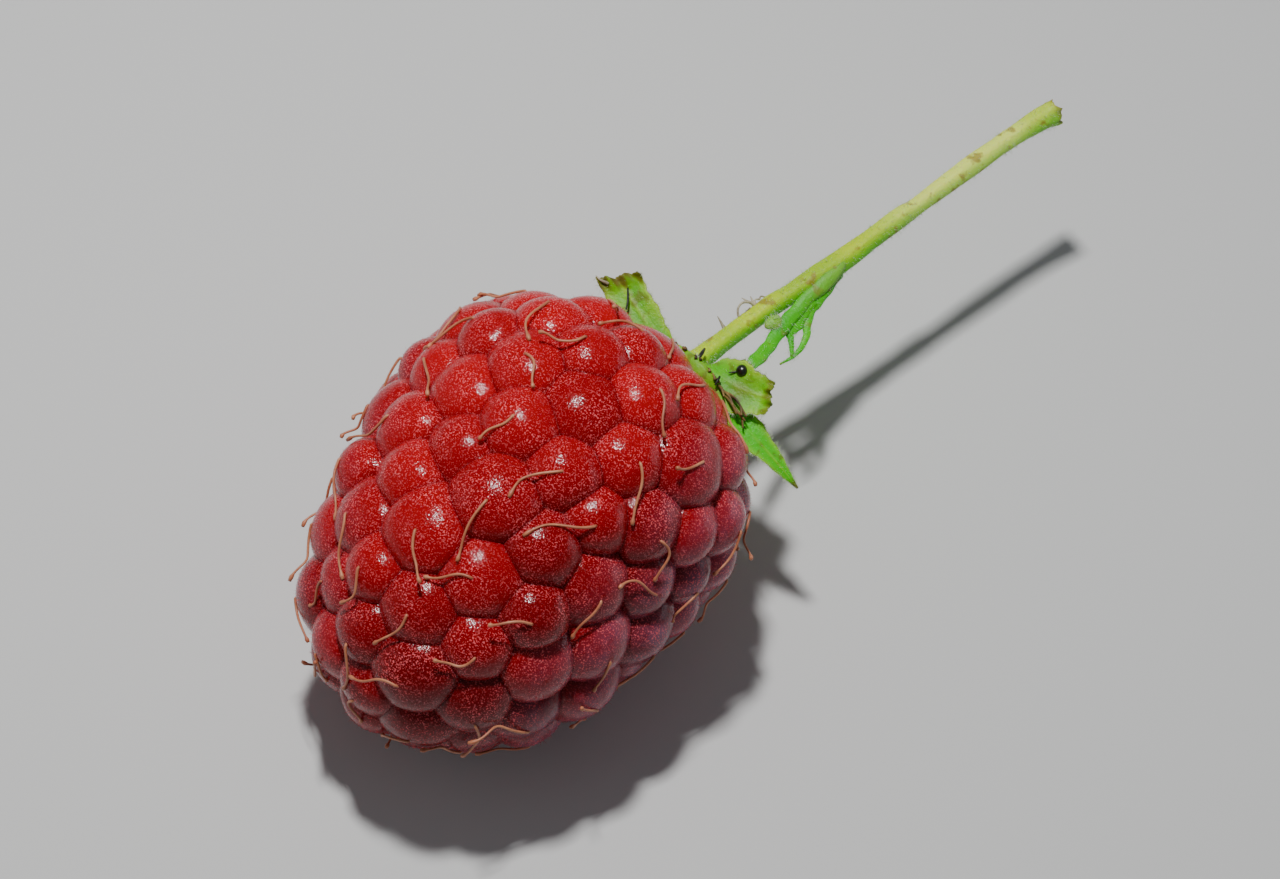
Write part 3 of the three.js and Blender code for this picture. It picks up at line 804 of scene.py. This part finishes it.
# Each sepal's rib, from the disc to its tip, as seen in the photograph's plane: along the stalk,
# across it to the upper left, out of the plane, half width, and how far the face turns to the
# viewer. The last two lie behind the fruit, and rest on its drupelets.
SEPALS = [
    {"cup": 0.25, "blunt": False, "resting": 0.0, "fresh": 0.9, "rib": [
        [0.2, -1.2, 1.1, 0.5, 0.2], [-0.03, -2.5, 1.6, 0.68, 0.6], [0.0, -3.66, 1.7, 0.7, 0.8],
        [0.1, -4.63, 1.6, 0.56, 0.8], [0.24, -5.73, 1.35, 0.32, 0.8],
        [0.39, -6.93, 1.0, 0.03, 0.8]]},
    {"cup": 0.3, "blunt": True, "slant": 0.0, "resting": 0.0, "fresh": 0.3, "rib": [
        [0.4, 0.6, 1.0, 0.5, 0.2], [0.52, 0.0, 1.4, 0.85, 0.6], [0.63, -0.8, 1.8, 1.1, 0.8],
        [0.9, -1.7, 2.1, 1.2, 0.9], [1.25, -2.4, 2.35, 1.0, 0.95], [1.65, -2.95, 2.6, 0.76, 1.0]]},
    {"cup": 0.2, "blunt": True, "slant": 0.4, "resting": 0.0, "fresh": 0.0, "rib": [
        [0.1, 1.1, 0.5, 0.4, 0.0], [-0.1, 2.0, 0.4, 0.5, 0.5], [-0.05, 3.1, 0.2, 0.75, 0.85],
        [0.1, 4.2, 0.1, 0.86, 1.0], [0.25, 5.3, 0.0, 0.95, 1.0], [0.42, 6.35, -0.1, 0.98, 1.0]]},
    {"cup": 0.2, "blunt": False, "resting": 1.0, "fresh": 0.5, "rib": [
        [0.3, 0.9, -0.8, 0.5, 0.0], [0.6, 2.2, -2.0, 1.05, 0.0], [0.8, 3.2, -2.9, 1.1, 0.1],
        [1.0, 4.0, -3.6, 0.7, 0.1], [1.3, 4.6, -4.15, 0.03, 0.2]]},
    {"cup": 0.2, "blunt": False, "resting": 1.0, "fresh": 0.3, "rib": [
        [0.3, -0.4, -1.1, 0.5, 0.0], [0.5, -0.9, -2.6, 1.15, 0.0], [0.7, -1.4, -3.9, 1.15, 0.0],
        [0.8, -1.9, -5.1, 0.75, 0.0], [1.0, -2.3, -6.2, 0.03, 0.0]]},
]
SEPAL_ROWS, SEPAL_COLUMNS = 60, 22
SEPAL_THICK = 0.16
BROWNED = 1  # the sepal with a brownish middle
RIB_SAMPLES = 160
FACE_CLEAR = 0.35
VIEWER = np.array([math.cos(AXIS_TOWARDS_VIEWER), 0, math.sin(AXIS_TOWARDS_VIEWER)])
TOWARDS_VIEWER = CALYX_AXES @ VIEWER


def clear_height(x, y, height):
    """The height that keeps points of the calyx clear of the drupelets under them: the highest
    of the given height and of each grown ball's cap over that place."""
    reach = BALL_RADIUS + FACE_CLEAR
    aside = (x[..., None] - CALYX_BALLS[:, 0]) ** 2 + (y[..., None] - CALYX_BALLS[:, 1]) ** 2
    cap = CALYX_BALLS[:, 2] + np.sqrt(np.clip(reach**2 - aside, 0, None))
    return np.maximum(height, np.where(aside < reach**2, cap, -np.inf).max(-1))


def sepal_frame(shape, u):
    """The rib's place at u, the directions along it, across its blade and out of its face, and
    its half width. The face turns by the last column from the stalk's direction to the viewer."""
    rows = curve_through(shape["rib"], RIB_SAMPLES)
    rib = seen(rows[:, 0], rows[:, 1], rows[:, 2])
    cleared = clear_height(rib[:, 0], rib[:, 1], rib[:, 2])
    rib[:, 2] += shape["resting"] * (cleared - rib[:, 2])
    along = unit(np.gradient(rib, axis=0))
    face = unit((1 - rows[:, 4:]) * np.array([0, 0, 1.0]) + rows[:, 4:] * TOWARDS_VIEWER)
    side = unit(np.cross(face, along))
    width = np.maximum(rows[:, 3:4], 0.03)
    place = np.clip(u, 0, 1) * (RIB_SAMPLES - 1)
    low = np.minimum(place.astype(int), RIB_SAMPLES - 2)
    part = (place - low)[..., None]
    kinds = rib, along, side, np.cross(along, side), width
    values = [v[low] * (1 - part) + v[low + 1] * part for v in kinds]
    return (*values[:4], values[4][..., 0])


def sepal_surface(shape, which, u, v, lift):
    """Points of a sepal at u along its rib and v across it: across by v times a slightly wavy
    half width, and out of the face by a cup that grows with v squared, a thin rib in the middle,
    and a gentle wave. Blunt ends curl and are torn by sines of v."""
    rib, along, side, face, width = sepal_frame(shape, u)
    phase = 6.28 * draw(which, 60)
    wavy = 1 + 0.05 * np.sin(19 * u + phase + v) + 0.03 * np.sin(53 * u + 2 * phase)
    end, curl = 0 * u, 0 * u
    if shape["blunt"]:
        torn = 0.07 * np.sin(5 * v + phase) + 0.04 * np.sin(13 * v + 2 * phase)
        torn = torn + 0.025 * np.sin(29 * v)
        end = shape["slant"] * v * u**4 + torn * smooth_step(0.82, 1.0, u)
        curl = 0.3 * smooth_step(0.84, 1.0, u) * (1 + 0.5 * np.sin(9 * v + phase))
    ridge = 0.08 * np.exp(-((v / 0.12) ** 2)) * (1 - 0.7 * u)
    vein = 0.012 * np.cos(9 * np.pi * v) * (1 - v * v)
    wave = 0.05 * np.sin(9 * u + phase) * v
    out = shape["cup"] * width * v * v + ridge + vein + curl + wave + lift
    across = side * (v * width * wavy)[..., None]
    return rib + along * end[..., None] + across + face * out[..., None]


def shell_faces(rows, columns):
    """Faces of a closed shell of two like grids of points, the upper one first: the upper grid's
    quads, the lower one's turned over, and a band round the rim."""
    cell = np.arange(rows - 1)[:, None] * columns + np.arange(columns - 1)
    top = np.stack([cell, cell + columns, cell + columns + 1, cell + 1], -1).reshape(-1, 4)
    lower = rows * columns
    grid = np.arange(lower).reshape(rows, columns)
    rim = np.concatenate([grid[0], grid[1:, -1], grid[-1, -2::-1], grid[-2:0:-1, 0]])
    after = np.roll(rim, -1)
    return [top, lower + top[:, ::-1], np.stack([rim, after, lower + after, lower + rim], 1)]


def blade(shape, which):
    """A sepal as a closed shell: the surface raised and lowered by half a thickness that thins
    to its edges, joined round the rim. Also how dry, pale and fresh each point is."""
    rows, columns = np.linspace(0, 1, SEPAL_ROWS), np.linspace(-1, 1, SEPAL_COLUMNS)
    u, v = np.meshgrid(rows, columns, indexing="ij")
    half = SEPAL_THICK * (1 - 0.75 * v**4) * (1 - 0.35 * u)
    both = [sepal_surface(shape, which, u, v, lift).reshape(-1, 3) for lift in (half, -half)]
    uneven = 0.05 * np.sin(7 * v + which) + 0.04 * np.sin(17 * v + 2 * which)
    if shape["blunt"]:
        dry = smooth_step(0.86, 0.97, u + 0.7 * uneven)
    else:
        dry = smooth_step(0.9, 0.99, u + 0.3 * uneven)
    if which == BROWNED:
        middle = 0.6 * np.exp(-(((u - 0.6) / 0.16) ** 2) - ((v + 0.1) / 0.5) ** 2)
        dry = np.maximum(0.8 * dry, middle)
    rib = np.exp(-((v / 0.12) ** 2)) * smooth_step(0.2, 0.8, u)
    pale = np.clip(0.6 * np.abs(v) ** 4 + 0.35 * rib, 0, 1)
    looks = [np.tile(look.ravel(), 2) for look in (dry, pale, np.full_like(u, shape["fresh"]))]
    return from_calyx(np.concatenate(both)), shell_faces(SEPAL_ROWS, SEPAL_COLUMNS), looks


# The disc's outline: distance from its axis, and height.
DISC_OUTLINE = [
    [0.0, -1.0], [1.2, -1.0], [1.9, -0.55], [2.25, -0.1],
    [2.25, 0.2], [1.7, 0.45], [0.95, 0.62], [0.0, 0.75]]
DISC_LOOKS = (0.15, 0.2, 0.2)


def disc(rings=12, sides=48):
    """The disc as a revolution of a rounded outline, from under it to where the stalk leaves."""
    smooth = curve_through(DISC_OUTLINE, rings + 2)
    ridge = 1 + 0.03 * np.cos(5 * full_turn(sides))
    points, faces = revolved(smooth[:, 0], smooth[:, 1], sides, ridge)
    return from_calyx(points), faces, [np.full(len(points), look) for look in DISC_LOOKS]


def calyx_piece(material):
    """The disc and its five sepals."""
    parts = [blade(shape, which) for which, shape in enumerate(SEPALS)] + [disc()]
    points, faces = joined([part[:2] for part in parts])
    dry, pale, fresh = [np.concatenate([part[2][k] for part in parts]) for k in range(3)]
    make_piece(
        "calyx_leaves", points, faces, material, "sepal_green", ("calyx",),
        dry=dry, pale=pale, fresh=fresh)


# Stamens

STAMENS, STAMEN_STEPS, STAMEN_SIDES = 34, 9, 6
STAMEN_RADIUS = 0.06
# Tangled stamens between the fruit and the sepals nearest the viewer: along, across, out, radius.
TANGLE = [
    [[0.2, -0.7, 1.8, 0.05], [0.05, -1.1, 2.4, 0.07], [-0.15, -1.5, 2.5, 0.04]],
    [[0.2, -1.0, 1.9, 0.06], [0.1, -1.6, 2.4, 0.06], [-0.1, -2.1, 2.6, 0.04]],
    [[0.1, -1.4, 2.0, 0.05], [-0.05, -1.9, 2.5, 0.08], [-0.2, -2.5, 2.5, 0.05]],
    [[0.1, -1.9, 2.1, 0.05], [-0.1, -2.4, 2.5, 0.07], [-0.05, -3.0, 2.4, 0.04]],
    [[0.2, -2.2, 1.9, 0.05], [0.0, -2.7, 2.3, 0.06], [-0.3, -3.2, 2.2, 0.04]],
    [[0.3, -1.6, 2.1, 0.05], [0.15, -2.3, 2.6, 0.05], [-0.1, -2.7, 2.6, 0.07]],
    [[0.2, -1.2, 2.0, 0.04], [0.2, -1.9, 2.6, 0.05], [0.05, -2.9, 2.6, 0.05]],
]


def stamens_piece(material):
    """Withered stamens round the disc's edge: each bends out and up by drawn amounts, with a
    small shrunken head. They are shorter at the photo's upper left and towards the viewer."""
    i = np.arange(STAMENS)
    angle = 2 * np.pi * (i + 0.4 * spread(i, 40)) / STAMENS
    out = np.stack([np.sin(angle), np.cos(angle), 0 * angle], 1)
    length = (0.8 + 0.35 * spread(i, 41)) * (1 - 0.75 * smooth_step(-0.1, 0.5, -np.cos(angle)))
    length *= 1 - 0.7 * smooth_step(0.3, 0.8, np.sin(angle))
    up = np.array([0, 0, 1.0])
    sideways = np.cross(up, out) * (0.45 * spread(i, 43))[:, None]
    root = out * (DISC_RADIUS - 0.4) + 0.05 * up
    bend = out * (DISC_RADIUS + 0.1) + 0.35 * up
    tip = out * (DISC_RADIUS + 0.5 * length)[:, None] + sideways
    tip = tip + up * (0.05 + 0.3 * length * (1 + spread(i, 42)))[:, None]
    u = np.linspace(0, 1, STAMEN_STEPS)[:, None]
    path = root[:, None] * (1 - u) ** 2 + 2 * bend[:, None] * u * (1 - u) + tip[:, None] * u**2
    path = path + (np.sin(7 * u) * 0.06)[None] * sideways[:, None]
    u = u[:, 0]
    head = 1.4 * np.exp(-(((u - 0.95) / 0.08) ** 2))
    radii = np.broadcast_to(STAMEN_RADIUS * (1 - 0.35 * u + head), path.shape[:2])
    ring = tubes(from_calyx(path), radii, turn_from_calyx(out), STAMEN_SIDES)
    points, faces = joined([ring] + [thread(rows) for rows in TANGLE])
    make_piece("withered_stamens", points, faces, material, "sepal_green")


# Stalk

# Distance along it, offset across it to the photo's upper left, and half widths.
PEDICEL = [
    [0.3, 0.72, 0.85, 0.95],
    [1.1, 0.83, 0.6, 0.7],
    [2.2, 0.86, 0.52, 0.56],
    [4.2, 0.85, 0.5, 0.52],
    [5.7, 0.82, 0.52, 0.53],
    [6.9, 0.7, 0.5, 0.53],
    [7.9, 0.64, 0.56, 0.56],
    [8.9, 0.55, 0.6, 0.58],
    [10.5, 0.5, 0.55, 0.54],
    [12.2, 0.49, 0.5, 0.52],
    [13.9, 0.48, 0.51, 0.52],
    [14.7, 0.43, 0.44, 0.47],
    [16.4, 0.42, 0.47, 0.48],
    [18.4, 0.4, 0.52, 0.5],
    [20.2, 0.36, 0.49, 0.48],
    [21.4, 0.31, 0.5, 0.48],
    [23.0, 0.19, 0.57, 0.55],
    [24.1, 0.07, 0.64, 0.6],
]
STALK_STEPS, STALK_SIDES = 150, 24
STALK_FADES, STALK_FRESH_AGAIN = (11.0, 16.0), (21.0, 23.0)  # distances along it
SIDE = turn_from_calyx(np.array([0, 1.0, 0]))


def seen(along, across, out):
    """Points of the calyx's frame from their place in the photograph's plane."""
    return np.stack([out, -across, along], -1)


def stalk_curve(steps):
    """The stalk's stations along a curve, and their places in the part's frame."""
    rows = curve_through(PEDICEL, steps)
    return rows, from_calyx(seen(rows[:, 0], rows[:, 1], 0 * rows[:, 0]))


def pedicel_piece(material):
    """The stalk: ellipses along a curve, with faint ribs and lumps, and a torn, hollowed end. Its
    lower side has the edge's colour, and its outer half is faded."""
    rows, path = stalk_curve(STALK_STEPS)
    i = np.arange(STALK_STEPS)[:, None]
    turn = full_turn(STALK_SIDES)
    ribs, lumps = 0.025 * np.cos(5 * turn + 0.02 * i), 0.015 * np.sin(0.55 * i + 2 * turn)
    torn = smooth_step(STALK_STEPS - 8, STALK_STEPS - 1, i)
    torn = torn * (0.10 * np.sin(3 * turn + 1) + 0.07 * np.sin(7 * turn))
    rough = 1 + ribs + lumps + 0.012 * spread(i, 70) + torn
    points, faces = tube(path, rows[:, 2], rows[:, 3], SIDE, STALK_SIDES, rough)
    end = unit(path[-1] - path[-2])
    points[-1] = points[-1] - end * 0.25
    last = slice(-1 - STALK_SIDES, -1)
    points[last] += end * (0.13 * np.sin(4 * turn) + 0.08 * np.sin(9 * turn + 1))[:, None]
    dry = 0.9 * smooth_step(STALK_STEPS - 4, STALK_STEPS, i[:, 0])
    faded = 0.8 * smooth_step(*STALK_FADES, rows[:, 0])
    faded = faded * (1 - 0.7 * smooth_step(*STALK_FRESH_AGAIN, rows[:, 0]))
    dry, faded = [np.pad(np.repeat(look, STALK_SIDES), 1) for look in (dry, faded)]
    dry[-1] = 1
    under = np.pad(np.tile(smooth_step(-0.1, 0.9, np.cos(turn)), STALK_STEPS), 1)
    make_piece(
        "stalk", points, faces, material, "stalk_green", ("pedicel",),
        dry=dry, pale=0.8 * under * (1 - 0.5 * faded), faded=faded)


# Lobes of the forked growth: along, across, out of the photo's plane, and half widths.
LOBES = [
    [[9.8, 0.32, 0.3, 0.2, 0.3], [8.6, 0.15, 0.35, 0.4, 0.3], [7.46, 0.08, 0.3, 0.38, 0.22],
     [6.4, -0.13, 0.25, 0.36, 0.16], [5.5, -0.3, 0.3, 0.34, 0.14], [4.63, -0.53, 0.3, 0.34, 0.13],
     [3.94, -0.73, 0.45, 0.34, 0.12], [3.2, -0.87, 0.9, 0.33, 0.12], [2.44, -0.96, 1.4, 0.3, 0.12],
     [1.87, -1.0, 1.9, 0.2, 0.1]],
    [[7.4, -0.2, 0.15, 0.3, 0.2], [6.6, -0.35, 0.12, 0.42, 0.14], [5.9, -0.58, 0.1, 0.4, 0.12],
     [5.45, -0.8, 0.1, 0.24, 0.1], [5.25, -1.12, 0.08, 0.14, 0.08], [5.0, -1.48, 0.05, 0.12, 0.07],
     [4.8, -1.74, 0.0, 0.08, 0.06]],
    [[9.4, 0.12, 0.1, 0.3, 0.3], [8.5, -0.05, 0.1, 0.36, 0.24], [7.6, -0.3, 0.1, 0.34, 0.18],
     [6.99, -0.55, 0.08, 0.26, 0.14], [6.41, -1.0, 0.05, 0.21, 0.11], [6.0, -1.42, 0.0, 0.17, 0.09],
     [5.35, -1.7, 0.0, 0.14, 0.08], [4.75, -1.76, 0.0, 0.09, 0.06], [4.08, -1.68, 0.0, 0.03, 0.03]],
    [[5.5, 0.0, 0.35, 0.06, 0.05], [5.3, 0.04, 0.36, 0.3, 0.12], [5.0, 0.08, 0.38, 0.34, 0.16],
     [4.72, 0.12, 0.36, 0.24, 0.12], [4.55, 0.14, 0.33, 0.05, 0.05]],
]
LOBE_STEPS, LOBE_SIDES = 48, 14
LOBE_THINNEST = 0.05
ROOT_LOBE, PALE_LOBE = 0, 3  # the lobe that is paler near the stalk, and the one that is pale


def lobe(stations, which):
    """One lobe: flat ellipses along a curve, with a wavy edge. Also the curve's points."""
    rows = curve_through(stations, LOBE_STEPS)
    path = from_calyx(seen(rows[:, 0], rows[:, 1], rows[:, 2]))
    i = np.arange(LOBE_STEPS)[:, None]
    rough = 1 + 0.07 * np.sin(0.9 * i + which) * np.cos(full_turn(LOBE_SIDES))
    rough = rough + 0.05 * np.sin(0.37 * i + 2 * which)
    wide, thick = np.maximum(rows[:, 3:], LOBE_THINNEST).T
    return *tube(path, wide, thick, SIDE, LOBE_SIDES, rough), path


def bract_piece(material):
    """The forked growth: its lobes from one root on the stalk's node, dried at their ends."""
    parts = [lobe(stations, which)[:2] for which, stations in enumerate(LOBES)]
    dry, pale = [], []
    for which, (points, _) in enumerate(parts):
        share = np.linspace(0, 1, len(points))
        dry.append(0.5 * smooth_step(0.9, 1.0, share))
        near = 0.5 * smooth_step(0.4, 0.0, share)
        pale.append(0.6 * (which == PALE_LOBE) + near * (which == ROOT_LOBE))
    points, faces = joined(parts)
    make_piece(
        "forked_bract", points, faces, material, "bract_green", ("bract",),
        dry=np.concatenate(dry), pale=np.concatenate(pale))


# Along, across and out of the photo's plane.
BEAD_PLACE = (1.44, -1.03, 2.35)
BEAD_RADIUS = 0.3


def bead_piece(material, rings=16, sides=24):
    """The dark bead on the second sepal's edge, in front of the first lobe's end: a sphere by
    its two angles."""
    polar = np.linspace(0, np.pi, rings + 2)
    points, faces = revolved(np.sin(polar), np.cos(polar), sides)
    points = from_calyx(seen(*np.array(BEAD_PLACE)) + points * BEAD_RADIUS)
    make_piece("dark_bead", points, turned_over(faces), material, "bract_green")


STALK_HAIRS, SEPAL_HAIRS, EDGE_HAIRS, LOBE_HAIRS = 2600, 700, 450, 260  # EDGE_HAIRS of a sepal's
STALK_HAIR_STEPS, STALK_HAIR_RANGE = 400, (10, 396)
GREEN_HAIR_WIDTH = 0.011
GREEN_HAIR_LEAN = 0.35


def stalk_roots(g):
    """Drawn places on the stalk's surface, and the directions out of it."""
    rows, path = stalk_curve(STALK_HAIR_STEPS)
    pick = g.integers(*STALK_HAIR_RANGE, STALK_HAIRS)
    turn = g.random(STALK_HAIRS) * 2 * np.pi
    across, over = [way[pick] for way in path_frame(path, SIDE)]
    ahead, aside = np.cos(turn)[:, None], np.sin(turn)[:, None]
    roots = path[pick] + across * (ahead * rows[pick, 2:3]) + over * (aside * rows[pick, 3:])
    return roots, across * ahead + over * aside


def sepal_roots(g, shape, which):
    """Drawn places on a sepal's upper face and on its edges, and the directions out of it."""
    u, v = g.random(SEPAL_HAIRS), 2 * g.random(SEPAL_HAIRS) - 1
    v[:EDGE_HAIRS] = np.sign(v[:EDGE_HAIRS])
    _, _, side, face, _ = sepal_frame(shape, u)
    sideways = side * v[:, None]
    edge = (np.abs(v) > 0.99)[:, None]
    away = unit(np.where(edge, sideways + 0.2 * face, face + 0.3 * sideways))
    roots = sepal_surface(shape, which, u, v, SEPAL_THICK * 0.3)
    return from_calyx(roots), turn_from_calyx(away)


def lobe_roots(g, stations, which):
    """Drawn corners of a lobe, clear of its ends, and the directions out of it."""
    points, _, path = lobe(stations, which)
    pick = g.integers(LOBE_SIDES, len(points) - 20, LOBE_HAIRS)
    nearest = path[np.minimum((pick - 1) // LOBE_SIDES, LOBE_STEPS - 1)]
    return points[pick], unit(points[pick] - nearest)


def green_hairs(material):
    """Short pale hairs on the stalk, the sepals and the lobes."""
    g = np.random.default_rng(11)
    places = [stalk_roots(g)]
    places += [sepal_roots(g, shape, which) for which, shape in enumerate(SEPALS)]
    places += [lobe_roots(g, stations, which) for which, stations in enumerate(LOBES)]
    roots, away = [np.concatenate(rows) for rows in zip(*places)]
    lengths = 0.1 + 0.18 * g.random(len(roots)) ** 2
    lean = GREEN_HAIR_LEAN * g.normal(size=roots.shape)
    points, faces = hairs(roots - away * ROOTED, away, lengths, GREEN_HAIR_WIDTH, lean)
    make_piece("green_down", points, faces, material, "stalk_green")


# Withered threads: rows of along, across, out of the photo's plane, and radius.
STALK_THREADS = [
    [[5.0, 1.25, 0.1, 0.16], [4.9, 1.45, 0.15, 0.1], [4.75, 1.62, 0.2, 0.07],
     [4.49, 1.76, 0.2, 0.06], [4.2, 1.7, 0.2, 0.055], [4.02, 1.55, 0.2, 0.055],
     [3.91, 1.34, 0.2, 0.06], [4.15, 1.27, 0.2, 0.05], [4.64, 1.33, 0.2, 0.05]],
    [[4.86, 1.5, 0.15, 0.07], [4.75, 1.72, 0.15, 0.05], [4.64, 1.98, 0.15, 0.02]],
    [[2.95, 1.15, 0.1, 0.16], [2.99, 1.38, 0.1, 0.09], [3.04, 1.65, 0.1, 0.055],
     [3.1, 1.98, 0.1, 0.02]],
    [[4.93, 1.42, 0.15, 0.08], [5.0, 1.6, 0.15, 0.05], [5.04, 1.78, 0.15, 0.02]],
    [[4.95, 1.38, 0.15, 0.07], [5.12, 1.5, 0.2, 0.045], [5.31, 1.42, 0.15, 0.05],
     [5.48, 1.47, 0.15, 0.04], [5.66, 1.3, 0.1, 0.04]],
    [[-0.1, 2.3, 0.35, 0.07], [0.26, 2.6, 0.35, 0.05], [0.64, 2.95, 0.3, 0.015]],
    [[-0.2, 6.35, 0.1, 0.09], [-0.41, 6.72, 0.15, 0.06], [-0.45, 6.91, 0.15, 0.04],
     [-0.44, 7.02, 0.1, 0.02]],
]
DARK_HAIRS = [
    [[0.28, 5.58, 0.5, 0.045], [-0.15, 5.1, 0.6, 0.055], [-0.5, 4.8, 0.55, 0.04]],
    [[0.25, 0.72, 1.6, 0.07], [0.7, 0.85, 1.5, 0.1], [1.1, 0.98, 1.2, 0.06]],
    [[0.03, -3.19, 0.9, 0.04], [-0.07, -3.72, 0.95, 0.045], [0.2, -4.05, 0.95, 0.03]],
    [[-0.3, 0.72, 1.5, 0.03], [0.05, 0.4, 1.8, 0.05], [0.4, -0.04, 1.85, 0.03]],
    [[0.4, -0.6, 2.3, 0.05], [0.15, -0.7, 2.4, 0.07], [-0.1, -0.8, 2.35, 0.04]],
    [[0.9, -0.7, 2.2, 0.03], [1.2, -0.9, 2.3, 0.05]],
    [[-0.2, 1.75, 0.3, 0.03], [0.04, 1.51, 0.3, 0.025], [0.4, 1.48, 0.3, 0.015]],
]
THREAD_STEPS, THREAD_SIDES = 24, 7
THREAD_THINNEST = 0.015


def thread(stations):
    """One withered thread: a tube of tapering radius along a curve through its stations."""
    rows = curve_through(stations, THREAD_STEPS)
    path = from_calyx(seen(rows[:, 0], rows[:, 1], rows[:, 2]))
    radius = np.maximum(rows[:, 3], THREAD_THINNEST)
    return tube(path, radius, radius, turn_from_calyx(np.array([1.0, 0.1, 0])), THREAD_SIDES)


def threads_piece(name, threads, material, slot):
    """A piece made of withered threads."""
    make_piece(name, *joined([thread(stations) for stations in threads]), material, slot)


# Floor, lights and camera

FLOOR_HALF, FLOOR_HEIGHT = 2000, -0.02


def floor():
    """A wide pale floor just under the fruit."""
    mesh = bpy.data.meshes.new("floor")
    corners = [(x * FLOOR_HALF * MM, y * FLOOR_HALF * MM, FLOOR_HEIGHT * MM)
               for x, y in ((-1, -1), (1, -1), (1, 1), (-1, 1))]
    mesh.from_pydata(corners, [], [(0, 1, 2, 3)])
    material, _, shader = new_material("pale_floor", 0.8)
    shader["Base Color"].default_value = (0.66, 0.66, 0.65, 1)
    mesh.materials.append(material)
    made = bpy.data.objects.new("floor", mesh)
    bpy.context.scene.collection.objects.link(made)


def put(name, data, axes, place):
    """A light or camera in the scene, with its right, up and back directions and its place in
    millimetres."""
    matrix = np.eye(4)
    matrix[:3, :3] = np.stack(axes, 1)
    matrix[:3, 3] = place * MM
    made = bpy.data.objects.new(name, data)
    made.matrix_world = Matrix(matrix.tolist())
    bpy.context.scene.collection.objects.link(made)
    return made


def light(name, place, energy, size, target, colour=(1, 1, 1)):
    """A square area light, in watts and millimetres, that faces a target."""
    data = bpy.data.lights.new(name, "AREA")
    data.energy, data.size, data.color = energy, size * MM, colour
    back = unit(place - target)
    right = unit(np.cross([0, 0, 1.0], back))
    put(name, data, (right, np.cross(back, right), back), place)


def photo_axes():
    """The view's right, up and towards-the-viewer directions in the part's frame, from how the
    fruit's axis lies in the photograph."""
    a, b = AXIS_ANGLE, AXIS_TOWARDS_VIEWER
    axis = np.array([-math.cos(b) * math.cos(a), -math.cos(b) * math.sin(a), math.sin(b)])
    first = np.array([math.sin(b) * math.cos(a), math.sin(b) * math.sin(a), math.cos(b)])
    rows = np.stack([first, np.cross(axis, first), axis])
    return (TURNED @ rows).T


def camera():
    """A long lens where the photograph was taken, with the fruit at its pixel."""
    right, up, back = photo_axes()
    aside = (PHOTO_WIDTH / 2 - FRUIT_PIXEL[0]) / PIXELS_PER_MM
    above = (FRUIT_PIXEL[1] - PHOTO_HEIGHT / 2) / PIXELS_PER_MM
    place = SHIFT + back * VIEW_DISTANCE + right * aside + up * above
    data = bpy.data.cameras.new("camera")
    data.sensor_width = SENSOR
    data.lens = PIXELS_PER_MM * VIEW_DISTANCE / PHOTO_WIDTH * SENSOR
    data.clip_start, data.clip_end = 0.005, 10
    bpy.context.scene.camera = put("camera", data, (right, up, back), place)


def studio():
    """A small soft key above the camera, a broad fill from the left, a rim light from the right,
    and a pale surround."""
    right, up, back = photo_axes()
    centre = SHIFT
    light("key", centre + back * 125 + up * 110 - right * 5, 0.3, 13, centre)
    light("fill", centre + back * 90 - right * 190 + up * 60, 0.03, 160, centre, (0.92, 0.95, 1.0))
    light("rim", centre + right * 140 - back * 30 + up * 20, 0.04, 90, centre, (0.8, 0.9, 1.0))
    world = bpy.data.worlds.new("surround")
    world.use_nodes = True
    background = world.node_tree.nodes["Background"].inputs
    background["Color"].default_value = (0.8, 0.83, 0.88, 1)
    background["Strength"].default_value = 0.14
    bpy.context.scene.world = world


camera()
studio()
floor()

skin = skin_material()
down = thread_material("pale_down", (0.85, 0.14, 0.17), (0.6, 0.045, 0.06), 0.4)
styles = thread_material("dry_style", (0.60, 0.24, 0.12), (0.40, 0.11, 0.05), 0.45)
sepal_green = plant_material(
    "sepal_green", (0.27, 0.56, 0.0), (0.09, 0.38, 0.0), (0.52, 0.66, 0.05),
    (0.14, 0.12, 0.015), 450.0, 0.6)
stalk_green = plant_material(
    "stalk_green", (0.54, 0.70, 0.0), (0.36, 0.58, 0.0), (0.08, 0.60, 0.0),
    (0.28, 0.18, 0.03), 320.0, 0.75)
bract_green = plant_material(
    "bract_green", (0.10, 0.60, 0.0), (0.035, 0.42, 0.0), (0.34, 0.52, 0.06),
    (0.24, 0.18, 0.03), 500.0, 0.6)
stamen_brown = thread_material("stamen_brown", (0.42, 0.26, 0.07), (0.06, 0.035, 0.015), 0.6)
green_down = thread_material("green_down", (0.75, 0.85, 0.6), (0.6, 0.75, 0.45), 0.6)
thread_brown = thread_material("thread_brown", (0.5, 0.45, 0.3), (0.12, 0.08, 0.04), 0.6)
dark_hair = thread_material("dark_hair", (0.03, 0.03, 0.015), (0.008, 0.008, 0.004), 0.45)

fruit_piece(skin)
down_piece(down)
styles_piece(styles)
calyx_piece(sepal_green)
stamens_piece(stamen_brown)
pedicel_piece(stalk_green)
bract_piece(bract_green)
bead_piece(bead_material())
green_hairs(green_down)
threads_piece("stalk_threads", STALK_THREADS, thread_brown, "stalk_green")
threads_piece("dark_hairs", DARK_HAIRS, dark_hair, "sepal_green")
